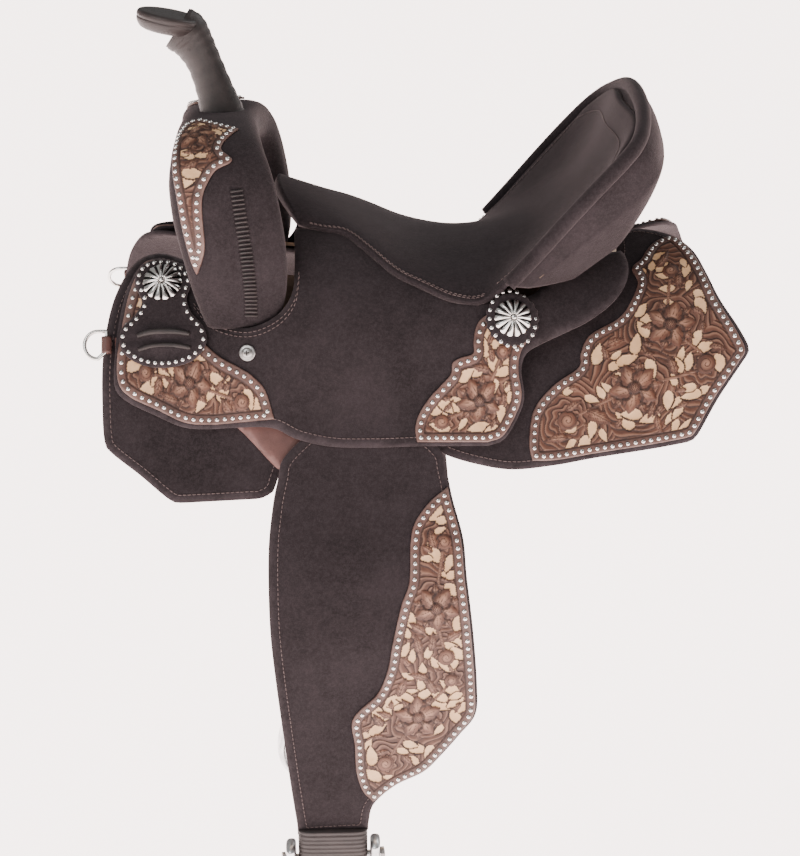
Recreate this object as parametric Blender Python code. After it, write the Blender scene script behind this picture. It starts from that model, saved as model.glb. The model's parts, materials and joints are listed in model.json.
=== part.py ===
"""Western barrel saddle: wood tree, suede seat and jockeys, tooled overlays, hung fenders and stirrups.

Metres, +Z up. The horn points along -X, the near (left) side is -Y. The origin is the point on the
middle plane where the saddle rests over a ridge. The sides are built as leather layers on one
profile: x runs along the saddle, s is the distance down the side from the middle line, n is the
height of a layer above the skirt's outer face.
"""
import math
import bpy
import bmesh
from mathutils import Vector

for stale in list(bpy.data.objects):
    bpy.data.objects.remove(stale, do_unlink=True)

GAP = 0.0004                # air between neighbouring leather layers

# side profile
SPINE_Z = 0.090             # height of the skirt face at the middle line
TOP_ANGLE = 12.0            # slope of the side at the middle line, degrees
SIDE_ANGLE = 68.0           # slope of the hanging side, degrees
ROUND_LEN = 0.200           # distance over which the side turns from one slope to the other
CELL_X = 0.050              # spacing of the lines along the saddle
CELL_S = 0.040              # spacing of the lines down the side
REAR_LIFT = ((0.10, 0.0), (0.15, 0.003), (0.20, 0.008), (0.25, 0.016), (0.30, 0.022))
FRONT_LIFT = ((-0.35, 0.050), (-0.30, 0.040), (-0.25, 0.030), (-0.20, 0.020), (-0.15, 0.010),
              (-0.10, 0.003), (-0.05, 0.0))
FRONT_FADE = ((0.0, 1.0), (0.04, 0.95), (0.08, 0.75), (0.12, 0.40), (0.16, 0.12), (0.20, 0.0))
TREE_RISE = ((-0.30, 0.0), (-0.25, 0.010), (-0.20, 0.030), (-0.15, 0.040), (-0.10, 0.040), (-0.05, 0.034),
             (0.0, 0.030), (0.05, 0.030), (0.10, 0.015), (0.20, 0.013), (0.25, 0.0))
TREE_FADE = ((0.08, 1.0), (0.12, 0.9), (0.16, 0.4), (0.20, 0.0))
SWEEP = 0.150               # how far the sides sweep back, for each unit of half width
SWEEP_ROUND = 0.050         # half width over which the sweep sets in
TILT = 0.0442               # how far the whole saddle sits nose down, for each unit of length

# overall lengths
FRONT_X = -0.346            # front edge of the skirt
REAR_X = 0.277              # rear tip of the skirt
SKIRT_DROP = 0.279          # skirt's lower front corner, measured down the side
REAR_DROP = 0.256           # skirt's lower edge behind the fender
JOCKEY_DROP = 0.240         # lower edge of the jockey over the fender
JOCKEY_FRONT = -0.333
JOCKEY_REAR = 0.056

# leather and fleece thicknesses
SKIRT_T = 0.005
FLEECE_T = 0.014
RIG_T = 0.003
JOCKEY_T = 0.0035
OVERLAY_T = 0.0020
KEEPER_T = 0.0040
FENDER_T = 0.0045
FENDER_N = RIG_T + 2 * GAP
JOCKEY_OVER_RIG = RIG_T + 0.0010
JOCKEY_OVER_FENDER = FENDER_N + FENDER_T
JOCKEY_STEP = ((-0.25, JOCKEY_OVER_RIG), (-0.20, JOCKEY_OVER_FENDER), (0.05, JOCKEY_OVER_FENDER),
               (0.10, JOCKEY_OVER_RIG))
BAR_THICK = ((0.060, 0.007), (0.080, 0.010), (0.110, 0.016), (0.146, 0.012))

# fender and its hinges
PIVOT_X, PIVOT_S = -0.100, 0.216
LIFT_S = JOCKEY_DROP + 0.0010
FENDER_JOINT = 0.0006
BEND_S = 0.325              # where the fender leaves the slope of the side
BEND_R = 0.300
FENDER_END = 0.625          # lower end of the fender, measured along it

# horn, fork, seat and cantle
CAP_R, CAP_T = 0.0315, 0.013
CAP_AT = (-0.2645, 0.3275)
CAP_TILT = 14.0
NECK_PATH = ((-0.2140, 0.224, 0.0205), (-0.2160, 0.235, 0.0192), (-0.2225, 0.258, 0.0150),
             (-0.2320, 0.284, 0.0130), (-0.2425, 0.306, 0.0140), (-0.2510, 0.3200, 0.0160))
NECK_ROOM_END = (-0.2524, 0.3220, 0.0160)
NECK_WRAP_T = 0.0025
SEAT_T = 0.007
GROUND_T = 0.0025
BINDING_R = 0.008

# stirrup
BOLT_DROP = 0.0314          # the stirrup's bolt, below the end of the fender
BOLT_R = 0.0050
STIRRUP_X = -0.1415
NECK_W = 0.070
FRAME_TOP_W = 0.094
FRAME_BOTTOM_W = 0.136
FRAME_H = 0.150
FRAME_BAR = 0.010
TREAD_DEPTH = 0.052


def ramp(table, value):
    if value <= table[0][0]:
        return table[0][1]
    for (a, p), (b, q) in zip(table, table[1:]):
        if value <= b:
            return p + (q - p) * (value - a) / (b - a)
    return table[-1][1]


def slope(s):
    a, b = math.radians(TOP_ANGLE), math.radians(SIDE_ANGLE)
    return a + (b - a) * min(s / ROUND_LEN, 1.0)


def corner(x, s):
    """Skirt face point, outward direction and the jockey's height above it, at a line crossing."""
    a, f = math.radians(TOP_ANGLE), slope(s)
    radius = ROUND_LEN / (math.radians(SIDE_ANGLE) - a)
    over = max(s - ROUND_LEN, 0.0)
    y = radius * (math.sin(f) - math.sin(a)) + over * math.cos(f)
    z = SPINE_Z - radius * (math.cos(a) - math.cos(f)) - over * math.sin(f)
    z += ramp(REAR_LIFT, x) + ramp(FRONT_LIFT, x) * ramp(FRONT_FADE, s)
    rise = ramp(JOCKEY_STEP, x) + ramp(TREE_RISE, x) * ramp(TREE_FADE, s)
    return Vector((x, y, z)), Vector((0.0, math.sin(f), math.cos(f))), rise


def layer_point(x, s, n, over=False, side=-1):
    """Point of a layer at height n; the corners of one triangle of the common lines are blended."""
    i = math.floor(x / CELL_X + 1e-9)
    u = x / CELL_X - i
    if s < ROUND_LEN - 1e-9:
        j = math.floor(s / CELL_S + 1e-9)
        lo, hi = j * CELL_S, (j + 1) * CELL_S
    else:
        lo, hi = ROUND_LEN, 2 * ROUND_LEN
    v = (s - lo) / (hi - lo)
    x0, x1 = i * CELL_X, (i + 1) * CELL_X
    if u + v <= 1.0:
        picks = ((x0, lo, 1 - u - v), (x1, lo, u), (x0, hi, v))
    else:
        picks = ((x1, hi, u + v - 1), (x0, hi, 1 - u), (x1, lo, 1 - v))
    out = Vector((0.0, 0.0, 0.0))
    for px, ps, weight in picks:
        if abs(weight) > 1e-12:
            at, normal, rise = corner(px, ps)
            out += weight * (at + normal * (n + (rise if over else 0.0)))
    out.x = x
    out.y *= side
    return out


def swept(p):
    """Place of a point once the sides are swept back and the saddle sits nose down."""
    x = p[0] + SWEEP * (math.hypot(p[1], SWEEP_ROUND) - SWEEP_ROUND)
    return Vector((x, p[1], p[2] + TILT * x))


def material(name, color, rough, metal=0.0):
    found = bpy.data.materials.get(name)
    if found:
        return found
    made = bpy.data.materials.new(name)
    made.use_nodes = True
    shader = made.node_tree.nodes["Principled BSDF"]
    shader.inputs["Base Color"].default_value = (*color, 1.0)
    shader.inputs["Roughness"].default_value = rough
    shader.inputs["Metallic"].default_value = metal
    return made


def suede():
    return material("suede", (0.060, 0.046, 0.043), 0.95)


def smooth_leather():
    return material("smooth_leather", (0.165, 0.095, 0.075), 0.50)


def tooled_leather():
    return material("tooled_leather", (0.620, 0.400, 0.290), 0.55)


def silver():
    return material("silver", (0.80, 0.79, 0.77), 0.22, 1.0)


def steel():
    return material("steel", (0.62, 0.61, 0.60), 0.35, 1.0)


def aluminium():
    return material("aluminium", (0.75, 0.75, 0.76), 0.30, 1.0)


def fleece_wool():
    return material("fleece", (0.78, 0.71, 0.58), 1.0)


def tree_wood():
    return material("wood", (0.50, 0.34, 0.20), 0.70)


def finish(bm, name, mat):
    for v in bm.verts:
        v.co = swept(v.co)
    bmesh.ops.recalc_face_normals(bm, faces=bm.faces[:])
    mesh = bpy.data.meshes.new(name)
    bm.to_mesh(mesh)
    bm.free()
    mesh.materials.append(mat)
    made = bpy.data.objects.new(name, mesh)
    bpy.context.scene.collection.objects.link(made)
    return made


def curve(points, steps=3):
    """Closed outline through points; a third value of 1 marks a sharp corner."""
    out, count = [], len(points)
    for k in range(count):
        p0, p1, p2, p3 = (points[(k + d) % count] for d in (-1, 0, 1, 2))
        sharp1, sharp2 = len(p1) > 2, len(p2) > 2
        out.append((p1[0], p1[1]))
        if sharp1 and sharp2:
            continue
        for axis_steps in range(1, steps):
            t = axis_steps / steps
            here = []
            for a in (0, 1):
                m1 = (p2[a] - p1[a]) if sharp1 else (p2[a] - p0[a]) / 2
                m2 = (p2[a] - p1[a]) if sharp2 else (p3[a] - p1[a]) / 2
                here.append((2 * t**3 - 3 * t**2 + 1) * p1[a] + (t**3 - 2 * t**2 + t) * m1
                            + (3 * t**2 - 2 * t**3) * p2[a] + (t**3 - t**2) * m2)
            out.append(tuple(here))
    return out


def cut_lines(bm, co, no, limit=None):
    faces = [f for f in bm.faces if limit is None or all(v.co.y <= limit + 1e-7 for v in f.verts)]
    geom = set(faces)
    for f in faces:
        geom.update(f.verts)
        geom.update(f.edges)
    bmesh.ops.bisect_plane(bm, geom=list(geom), dist=2e-6, plane_co=co, plane_no=no)


def layer(name, outline, low, high, mat, side, over=False, place=layer_point, lines=None):
    """Solid leather piece: an outline in (x, s) between two heights, laid on the side."""
    flat = bmesh.new()
    flat.faces.new([flat.verts.new((x, s, 0.0)) for x, s in outline])
    xs = [p[0] for p in outline]
    ss = [p[1] for p in outline]
    if lines is None:
        for i in range(math.ceil(min(xs) / CELL_X), math.floor(max(xs) / CELL_X) + 1):
            cut_lines(flat, (i * CELL_X, 0, 0), (1, 0, 0))
        for j in range(1, round(ROUND_LEN / CELL_S) + 1):
            cut_lines(flat, (0, j * CELL_S, 0), (0, 1, 0))
        for k in range(math.floor(min(xs) / CELL_X), math.ceil(max(xs) / CELL_X + ROUND_LEN / CELL_S) + 1):
            cut_lines(flat, (k * CELL_X, 0, 0), (1 / CELL_X, 1 / CELL_S, 0), ROUND_LEN)
    else:
        for s in lines:
            if min(ss) < s < max(ss):
                cut_lines(flat, (0, s, 0), (0, 1, 0))
    bmesh.ops.remove_doubles(flat, verts=flat.verts[:], dist=2e-5)
    solid = bmesh.new()
    tops, bases = {}, {}
    for v in flat.verts:
        args = (v.co.x, v.co.y)
        tops[v] = solid.verts.new(place(*args, high, over, side))
        bases[v] = solid.verts.new(place(*args, low, over, side))
    for f in flat.faces:
        solid.faces.new([tops[v] for v in f.verts])
        solid.faces.new([bases[v] for v in reversed(f.verts)])
    for e in flat.edges:
        if len(e.link_faces) == 1:
            a, b = e.verts
            solid.faces.new((tops[a], tops[b], bases[b], bases[a]))
    flat.free()
    return finish(solid, name, mat)


def loft(name, rings, mat, capped=True):
    """Solid through a row of closed rings; uncapped rows close on themselves."""
    bm = bmesh.new()
    rows = [[bm.verts.new(p) for p in ring] for ring in rings]
    count = len(rows[0])
    pairs = list(zip(rows, rows[1:]))
    if capped:
        bm.faces.new(list(reversed(rows[0])))
        bm.faces.new(rows[-1])
    else:
        pairs.append((rows[-1], rows[0]))
    for a, b in pairs:
        for k in range(count):
            m = (k + 1) % count
            if (a[k].co - b[m].co).length < (a[m].co - b[k].co).length - 1e-9:
                bm.faces.new((a[k], a[m], b[m]))
                bm.faces.new((a[k], b[m], b[k]))
            else:
                bm.faces.new((a[k], a[m], b[k]))
                bm.faces.new((a[m], b[m], b[k]))
    return finish(bm, name, mat)


def ring_at(centre, ux, uy, rx, ry, count=16, start=0.0):
    step = 2 * math.pi / count
    return [centre + ux * (rx * math.cos(start + k * step)) + uy * (ry * math.sin(start + k * step))
            for k in range(count)]


def side_frame(x, s, n, over, side):
    """Origin and directions of a small flat item lying on the side."""
    at = layer_point(x, s, n, over, side)
    along = (layer_point(x + 0.004, s, n, over, side) - layer_point(x - 0.004, s, n, over, side)).normalized()
    down = layer_point(x, s + 0.004, n, over, side) - layer_point(x, s - 0.004, n, over, side)
    down = (down - along * down.dot(along)).normalized()
    out = along.cross(down)
    if out.y * side < 0:
        out = -out
    return at, along, down, out


def disc(name, frame, rings, mat, lobes=0, depth=0.0, count=24):
    """Turned piece standing on the side: rings are (radius, height) pairs from the base up."""
    at, along, down, out = frame
    made = []
    for radius, height in rings:
        ring = []
        for k in range(count):
            a = 2 * math.pi * k / count
            r = radius * (1.0 - (depth if lobes and k % 2 else 0.0))
            ring.append(at + along * (r * math.cos(a)) + down * (r * math.sin(a)) + out * height)
        made.append(ring)
    return loft(name, made, mat)


def cut(target, cutter):
    cutter.hide_render = True
    cutter.display_type = "WIRE"
    mod = target.modifiers.new("cut", "BOOLEAN")
    mod.operation = "DIFFERENCE"
    mod.solver = "EXACT"
    mod.object = cutter


def hinge(name, at, side_objects):
    """Empty on a joint axis; the pieces that turn with it are parented to it."""
    empty = bpy.data.objects.new(name, None)
    empty.location = swept(at)
    bpy.context.scene.collection.objects.link(empty)
    bpy.context.view_layer.update()
    for child in side_objects:
        child.parent = empty
        child.matrix_parent_inverse = empty.matrix_world.inverted()
    return empty


# ---------------------------------------------------------------- outlines on the side, (x, s)
def skirt_outline():
    bottom = SKIRT_DROP
    return curve([
        (-0.258, 0.052, 1), (-0.281, 0.048), (-0.303, 0.060), (-0.321, 0.085), (-0.334, 0.112),
        (-0.343, 0.147),
        (FRONT_X, 0.185), (FRONT_X, 0.214), (-0.341, 0.226), (-0.314, bottom - 0.029),
        (-0.286, bottom - 0.003),
        (-0.272, bottom, 1), (-0.200, bottom, 1), (-0.188, bottom - 0.006), (-0.184, bottom - 0.015, 1),
        (-0.172, 0.236, 1),
        (-0.030, 0.236, 1), (-0.020, REAR_DROP - 0.010), (0.010, REAR_DROP + 0.001),
        (0.044, REAR_DROP + 0.008),
        (0.085, REAR_DROP + 0.006), (0.129, REAR_DROP + 0.002), (0.212, REAR_DROP, 1),
        (0.222, REAR_DROP - 0.005),
        (0.244, 0.220), (REAR_X - 0.008, 0.190), (REAR_X, 0.178), (REAR_X - 0.006, 0.158), (0.257, 0.123),
        (0.250, 0.090), (0.244, 0.060), (0.232, 0.035), (0.217, 0.018), (0.200, 0.006, 1), (0.176, 0.006, 1),
        (0.170, 0.048), (0.150, 0.058), (0.110, 0.060), (-0.050, 0.060), (-0.200, 0.060),
    ])


def inset(outline, distance):
    """Outline moved inward by a distance along its corner bisectors."""
    area = sum(a[0] * b[1] - b[0] * a[1] for a, b in zip(outline, outline[1:] + outline[:1]))
    sign = 1.0 if area > 0 else -1.0
    out = []
    count = len(outline)
    for k in range(count):
        a, b, c = outline[k - 1], outline[k], outline[(k + 1) % count]
        d1 = Vector((b[0] - a[0], b[1] - a[1])).normalized()
        d2 = Vector((c[0] - b[0], c[1] - b[1])).normalized()
        n1, n2 = Vector((-d1.y, d1.x)) * sign, Vector((-d2.y, d2.x)) * sign
        mid = (n1 + n2).normalized()
        mid *= distance / max(mid.dot(n1), 0.5)
        out.append((b[0] + mid.x, b[1] + mid.y))
    return out


def jockey_outline():
    low, front, rear = JOCKEY_DROP, JOCKEY_FRONT, JOCKEY_REAR
    return curve([
        (-0.262, 0.072, 1), (-0.283, 0.064), (-0.300, 0.071), (-0.316, 0.095), (-0.327, 0.126),
        (front + 0.001, 0.150),
        (front, 0.170), (-0.322, 0.182), (-0.296, 0.195), (-0.270, 0.207), (-0.246, 0.210), (-0.222, 0.210),
        (-0.186, 0.212), (-0.163, low - 0.016), (-0.130, low - 0.007), (-0.090, low - 0.004),
        (-0.049, low - 0.003),
        (0.019, low, 1), (0.034, low - 0.005), (0.048, 0.216), (rear, 0.196), (rear - 0.002, 0.172),
        (rear + 0.004, 0.158), (rear + 0.020, 0.1495), (0.100, 0.1400), (0.126, 0.1300), (0.150, 0.1160),
        (0.166, 0.0985),
        (0.1720, 0.080), (0.1700, 0.062, 1), (0.110, 0.064, 1), (0.095, 0.085), (0.075, 0.105),
        (0.060, 0.1150, 1), (0.047, 0.116),
        (0.028, 0.1175), (0.002, 0.1185), (-0.017, 0.1145), (-0.045, 0.103), (-0.063, 0.091), (-0.088, 0.066),
        (-0.101, 0.055), (-0.130, 0.053), (-0.150, 0.050, 1), (-0.152, 0.095), (-0.160, 0.122),
        (-0.178, 0.1385),
        (-0.206, 0.1435), (-0.234, 0.1345), (-0.252, 0.115), (-0.258, 0.095, 1),
    ])


def front_overlay_outline():
    edge = 0.0035
    return curve([
        (-0.279, 0.0685, 1), (-0.290, 0.068), (-0.299, 0.073), (-0.3130, 0.097), (-0.3235, 0.127),
        (JOCKEY_FRONT + edge, 0.150), (JOCKEY_FRONT + edge + 0.0005, 0.168), (-0.3185, 0.1790),
        (-0.294, 0.1905),
        (-0.268, 0.2030), (-0.244, 0.2060), (-0.222, 0.2055), (-0.184, 0.2040, 1), (-0.191, 0.180),
        (-0.202, 0.168),
        (-0.213, 0.161), (-0.230, 0.152), (-0.243, 0.142), (-0.262, 0.125, 1),
    ])


def rear_overlay_outline():
    low, rear = JOCKEY_DROP - 0.0035, JOCKEY_REAR - 0.0035
    return curve([
        (0.031, 0.1235, 1), (0.018, 0.130), (0.012, 0.137), (0.009, 0.148), (0.008, 0.157), (-0.004, 0.160),
        (-0.012, 0.164), (-0.014, 0.173), (-0.024, 0.182), (-0.035, 0.192), (-0.045, 0.205), (-0.0500, 0.219),
        (-0.0495, low - 0.0035, 1), (0.018, low, 1), (0.0325, low - 0.005), (0.045, 0.214), (rear, 0.195),
        (rear - 0.002, 0.172), (rear + 0.001, 0.158), (0.062, 0.146), (0.062, 0.132, 1), (0.046, 0.1225),
    ])


def skirt_overlay_outline():
    return curve([
        (0.062, REAR_DROP + 0.0005, 1), (0.0605, 0.238), (0.067, 0.208), (0.088, 0.185), (0.113, 0.170),
        (0.117, 0.156),
        (0.128, 0.139), (0.158, 0.125), (0.173, 0.108), (0.183, 0.088), (0.181, 0.070), (0.192, 0.060),
        (0.199, 0.050),
        (0.206, 0.042), (0.217, 0.036), (0.230, 0.037), (0.2405, 0.062), (0.2470, 0.091), (0.2530, 0.123),
        (REAR_X - 0.0105, 0.159), (REAR_X - 0.0050, 0.178), (REAR_X - 0.0120, 0.189), (0.240, 0.2180),
        (0.2190, REAR_DROP - 0.0085), (0.2105, REAR_DROP - 0.0045, 1), (0.129, REAR_DROP - 0.0025),
        (0.085, REAR_DROP + 0.001),
    ])


def keeper_outline():
    return curve([
        (-0.281, 0.070), (-0.263, 0.075), (-0.2535, 0.090), (-0.259, 0.104), (-0.2560, 0.116),
        (-0.2455, 0.128),
        (-0.2440, 0.140), (-0.2570, 0.152), (-0.2830, 0.157), (-0.3090, 0.153), (-0.3245, 0.142),
        (-0.3240, 0.128),
        (-0.3100, 0.117), (-0.3020, 0.106), (-0.3075, 0.090), (-0.2990, 0.075),
    ])


def rig_outline():
    return curve([
        (-0.330, 0.130, 1), (-0.331, 0.160, 1), (-0.250, 0.192), (-0.220, 0.208), (-0.1845, 0.2490),
        (-0.1760, 0.2520),
        (-0.160, 0.238), (-0.150, 0.212, 1), (-0.150, 0.150, 1), (-0.240, 0.150), (-0.290, 0.128, 1),
    ], 2)


def fleece_outline():
    return inset(skirt_outline()[::2], 0.003)


def bar_outline():
    return curve([
        (-0.238, 0.100), (-0.236, 0.125), (-0.225, 0.137), (-0.200, 0.143), (-0.100, 0.140), (0.000, 0.140),
        (0.080, 0.128), (0.120, 0.118), (0.148, 0.105), (0.157, 0.092), (0.150, 0.074), (0.100, 0.066),
        (-0.200, 0.064), (-0.230, 0.078),
    ], 2)


def bar_point(x, s, n, over=False, side=-1):
    """Bars fill the room between the rigging leather and the jockey; 0 is their top."""
    return layer_point(x, s, n if n > 0 else ramp(BAR_THICK, s), False, side)


def bar_top(x, s, n, over=False, side=-1):
    return layer_point(x, s, ramp(BAR_THICK, s) + n, False, side)


def fender_point(x, t, n, over=False, side=-1):
    """Point of the hanging fender: it follows the side, then bends plumb."""
    a = math.radians(SIDE_ANGLE)
    base = layer_point(0.0, min(t, BEND_S), 0.0, False, 1)
    turn = (math.pi / 2 - a) * min(max(t - BEND_S, 0.0) / (BEND_R * (math.pi / 2 - a)), 1.0)
    f = a + turn
    straight = max(t - BEND_S - BEND_R * (math.pi / 2 - a), 0.0)
    y = base.y + BEND_R * (math.sin(f) - math.sin(a)) + straight * math.cos(f) + n * math.sin(f)
    z = base.z - BEND_R * (math.cos(a) - math.cos(f)) - straight * math.sin(f) + n * math.cos(f)
    return Vector((x, side * y, z))


BOLT_Z = fender_point(0.0, FENDER_END, 0.0).z - BOLT_DROP
BEND_LINES = [BEND_S + BEND_R * (math.pi / 2 - math.radians(SIDE_ANGLE)) * k / 4 for k in range(5)]


def fender_outline():
    top, end = LIFT_S + FENDER_JOINT, FENDER_END
    return curve([
        (-0.1755, top, 1), (-0.183, 0.262), (-0.190, 0.289), (-0.197, 0.335), (-0.199, 0.400),
        (-0.195, 0.458),
        (-0.184, 0.561), (-0.1765, end - 0.008, 1), (-0.1765, end, 1), (-0.1065, end, 1),
        (-0.1065, end - 0.008, 1),
        (-0.101, 0.600), (-0.079, 0.580), (-0.052, 0.567), (-0.035, 0.550), (-0.016, 0.527), (-0.001, 0.506),
        (0.000, 0.474), (-0.004, 0.420), (-0.009, 0.365), (-0.0105, 0.328), (-0.018, 0.290), (-0.022, 0.262),
        (-0.0275, top, 1),
    ])


def fender_overlay_outline():
    return curve([
        (-0.0225, 0.278, 1), (-0.041, 0.292), (-0.056, 0.311), (-0.0615, 0.331), (-0.0645, 0.366),
        (-0.073, 0.388),
        (-0.082, 0.424), (-0.087, 0.452), (-0.097, 0.477), (-0.121, 0.503), (-0.1195, 0.532), (-0.118, 0.562),
        (-0.112, 0.583), (-0.1020, 0.5955, 1), (-0.0785, 0.5770), (-0.0525, 0.5640), (-0.0365, 0.5475),
        (-0.0180, 0.5250),
        (-0.0035, 0.5045), (-0.0030, 0.474), (-0.0070, 0.420), (-0.0120, 0.365), (-0.0135, 0.328),
        (-0.0210, 0.290),
    ])


def hanger_outline():
    return curve([
        (-0.140, PIVOT_S - 0.006, 1), (-0.060, PIVOT_S - 0.006, 1), (-0.0280, LIFT_S, 1),
        (-0.1750, LIFT_S, 1),
    ])


def strap_outline():
    return [(-0.176, 0.345), (-0.107, 0.345), (-0.107, 0.600), (-0.176, 0.600)]


# ---------------------------------------------------------------- fork and horn
FORK_ARC = (
    # half width y, height z, front x, rear x, radial thickness
    (0.127, 0.050, -0.238, -0.176, 0.024), (0.133, 0.085, -0.250, -0.169, 0.028),
    (0.138, 0.122, -0.259, -0.169, 0.032),
    (0.137, 0.160, -0.266, -0.173, 0.036), (0.124, 0.199, -0.268, -0.179, 0.037),
    (0.096, 0.222, -0.264, -0.184, 0.035),
    (0.050, 0.231, -0.257, -0.185, 0.031), (0.000, 0.233, -0.252, -0.185, 0.030),
)


def fork_stations():
    half = [(-y, z, a, b, t) for y, z, a, b, t in FORK_ARC]
    full = half + [(-y, z, a, b, t) for y, z, a, b, t in reversed(half[:-1])]
    return full


def fork_ring(k, stations, grow, span=None, count=16):
    """Section of the fork across its arch, grown outward; span keeps some of its corners."""
    y, z, x0, x1, thick = stations[k]
    before, after = stations[max(k - 1, 0)], stations[min(k + 1, len(stations) - 1)]
    run = Vector((0.0, after[0] - before[0], after[1] - before[1])).normalized()
    out = Vector((0.0, -run.z, run.y))
    centre = Vector(((x0 + x1) / 2, y, z)) - out * (thick / 2)
    along = Vector((1.0, 0.0, 0.0))
    half_x, half_t = (x1 - x0) / 2 + grow, thick / 2 + grow
    pts = []
    first, last = span or (0, count - 1)
    for i in range(first, last + 1):
        a = 2 * math.pi * i / count
        c, s = math.cos(a), math.sin(a)
        power = 0.62
        pts.append(centre + along * (half_x * math.copysign(abs(c) ** power, c))
                   + out * (half_t * math.copysign(abs(s) ** power, s)))
    return pts


def fork_solid(name, grow, mat):
    stations = fork_stations()
    return loft(name, [fork_ring(k, stations, grow) for k in range(len(stations))], mat)


def fork_skin(name, low, high, span, mat, keys=None):
    """Leather over the outside of the fork, between two thicknesses."""
    stations = fork_stations()
    bm_rings = []
    for k in keys or range(len(stations)):
        outer = fork_ring(k, stations, high, span)
        inner = fork_ring(k, stations, low, span)
        bm_rings.append(outer + inner[::-1])
    return loft(name, bm_rings, mat)


def path_rings(path, grow, count=16):
    rings = []
    for k, (x, z, r) in enumerate(path):
        a, b = path[max(k - 1, 0)], path[min(k + 1, len(path) - 1)]
        run = Vector((b[0] - a[0], 0.0, b[1] - a[1])).normalized()
        side = Vector((0.0, 1.0, 0.0))
        rings.append(ring_at(Vector((x, 0.0, z)), run.cross(side), side, r + grow, r + grow, count))
    return rings


COVER_T = 0.0035
COVER_GAP = 0.0006
OVER_COVER = COVER_T + 2 * COVER_GAP

fork = fork_solid("fork", 0.0, tree_wood())
bar_rooms = [layer(f"bar_room_{word}", inset(bar_outline(), -0.0010), -0.020, 2 * GAP, tree_wood(), side,
                   False, bar_top) for word, side in (("left", -1), ("right", 1))]
for room in bar_rooms:
    cut(fork, room)
swell_cover = fork_skin("swell_cover", COVER_GAP, COVER_GAP + COVER_T, (-1, 9), suede())
for room in bar_rooms:
    cut(swell_cover, room)
swell_overlay = fork_skin("swell_overlay", OVER_COVER, OVER_COVER + OVERLAY_T, (5, 9), tooled_leather(),
                          range(1, len(fork_stations()) - 1))

horn_core = loft("horn_core", path_rings(NECK_PATH, -NECK_WRAP_T - GAP), steel())
cut(horn_core, fork_solid("fork_room", GAP, suede()))
outer_rings = path_rings(NECK_PATH, 0.0)
inner_rings = path_rings(NECK_PATH, -NECK_WRAP_T)
horn_neck = loft("horn_neck", outer_rings + inner_rings[::-1], smooth_leather(), capped=False)
cut(horn_neck, fork_solid("cover_room", OVER_COVER, suede()))
cut(swell_cover, loft("core_room", path_rings(NECK_PATH, -NECK_WRAP_T), suede()))

tilt = math.radians(CAP_TILT)
cap_x = Vector((math.cos(tilt), 0.0, -math.sin(tilt)))
cap_up = Vector((math.sin(tilt), 0.0, math.cos(tilt)))
cap_at = Vector((CAP_AT[0], 0.0, CAP_AT[1]))
cap_rings = [ring_at(cap_at + cap_up * h, cap_x, Vector((0, 1, 0)), r, r, 28) for r, h in (
    (CAP_R - 0.010, -CAP_T * 0.95), (CAP_R - 0.004, -CAP_T * 0.55), (CAP_R - 0.002, -CAP_T * 0.15),
    (CAP_R, CAP_T * 0.02), (CAP_R, CAP_T * 0.28), (CAP_R - 0.003, CAP_T * 0.42))]
horn_cap = loft("horn_cap", cap_rings, smooth_leather())
cut(horn_cap, loft("neck_room", path_rings(NECK_PATH + (NECK_ROOM_END,), GAP), suede()))

# ---------------------------------------------------------------- seat and cantle
SEAT_ROWS = (
    # centre x and z, then the x and s of the edge on the jockey
    (-0.163, 0.166, -0.146, 0.047), (-0.130, 0.150, -0.122, 0.0505), (-0.098, 0.134, -0.100, 0.0520),
    (-0.064, 0.117, -0.081, 0.0680),
    (-0.034, 0.103, -0.058, 0.0890), (-0.006, 0.095, -0.034, 0.1010), (0.028, 0.0935, -0.008, 0.1125),
    (0.062, 0.100, 0.018, 0.1145),
)
CANTLE_ROWS = (
    # centre x, centre z, then the edge of the dish and how late the row curls towards it
    (0.096, 0.112, 0.050, 0.129, 0.096, 2.4), (0.127, 0.137, 0.080, 0.132, 0.128, 2.8),
    (0.149, 0.167, 0.106, 0.132, 0.156, 3.4),
    (0.164, 0.198, 0.126, 0.131, 0.177, 4.2), (0.1745, 0.2265, 0.136, 0.130, 0.188, 5.2),
)
RIM = ((0.036, 0.1395, 0.086), (0.062, 0.1405, 0.114), (0.088, 0.141, 0.143), (0.114, 0.141, 0.171),
       (0.139, 0.139, 0.196),
       (0.156, 0.128, 0.211), (0.168, 0.104, 0.2215), (0.177, 0.070, 0.2310), (0.182, 0.035, 0.2370),
       (0.184, 0.0, 0.2390))
CANTLE_FOOT = (0.142, 0.074)
CANTLE_THICKEN = 0.100      # height above the rim's corner at which the cantle reaches its full thickness
CORNER_SHARE = 0.36         # its thickness at the corner, as a share of the full one
CANTLE_FACE = 0.0100        # depth of the board's face behind the rim
BINDING_AT = Vector((0.010, 0.0, -0.0050))
SEAT_EDGE_N = JOCKEY_T + GAP + SEAT_T + 0.0005


def seat_row(k, drop, count=9):
    row = []
    if k < len(SEAT_ROWS):
        cx, cz, ex, es = SEAT_ROWS[k]
        edge = layer_point(ex, es, SEAT_EDGE_N, True, 1)
        ey, ez, late = edge.y, edge.z, 2.2
    else:
        cx, cz, ex, ey, ez, late = CANTLE_ROWS[k - len(SEAT_ROWS)]
    for i in range(count):
        v = -1 + 2 * i / (count - 1)
        w = abs(v)
        blend = w ** late
        x = cx + (ex - cx) * blend
        z = cz + (ez - cz) * blend
        back = (0.0, 1.0) if k < len(SEAT_ROWS) else (0.85, 0.60)
        row.append(Vector((x + back[0] * drop, ey * v, z - back[1] * drop)))
    return row


seat_count = len(SEAT_ROWS) + len(CANTLE_ROWS)
seat_rings = [seat_row(k, 0.0) + seat_row(k, SEAT_T)[::-1] for k in range(seat_count)]
seat = loft("seat", seat_rings, suede())


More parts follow.
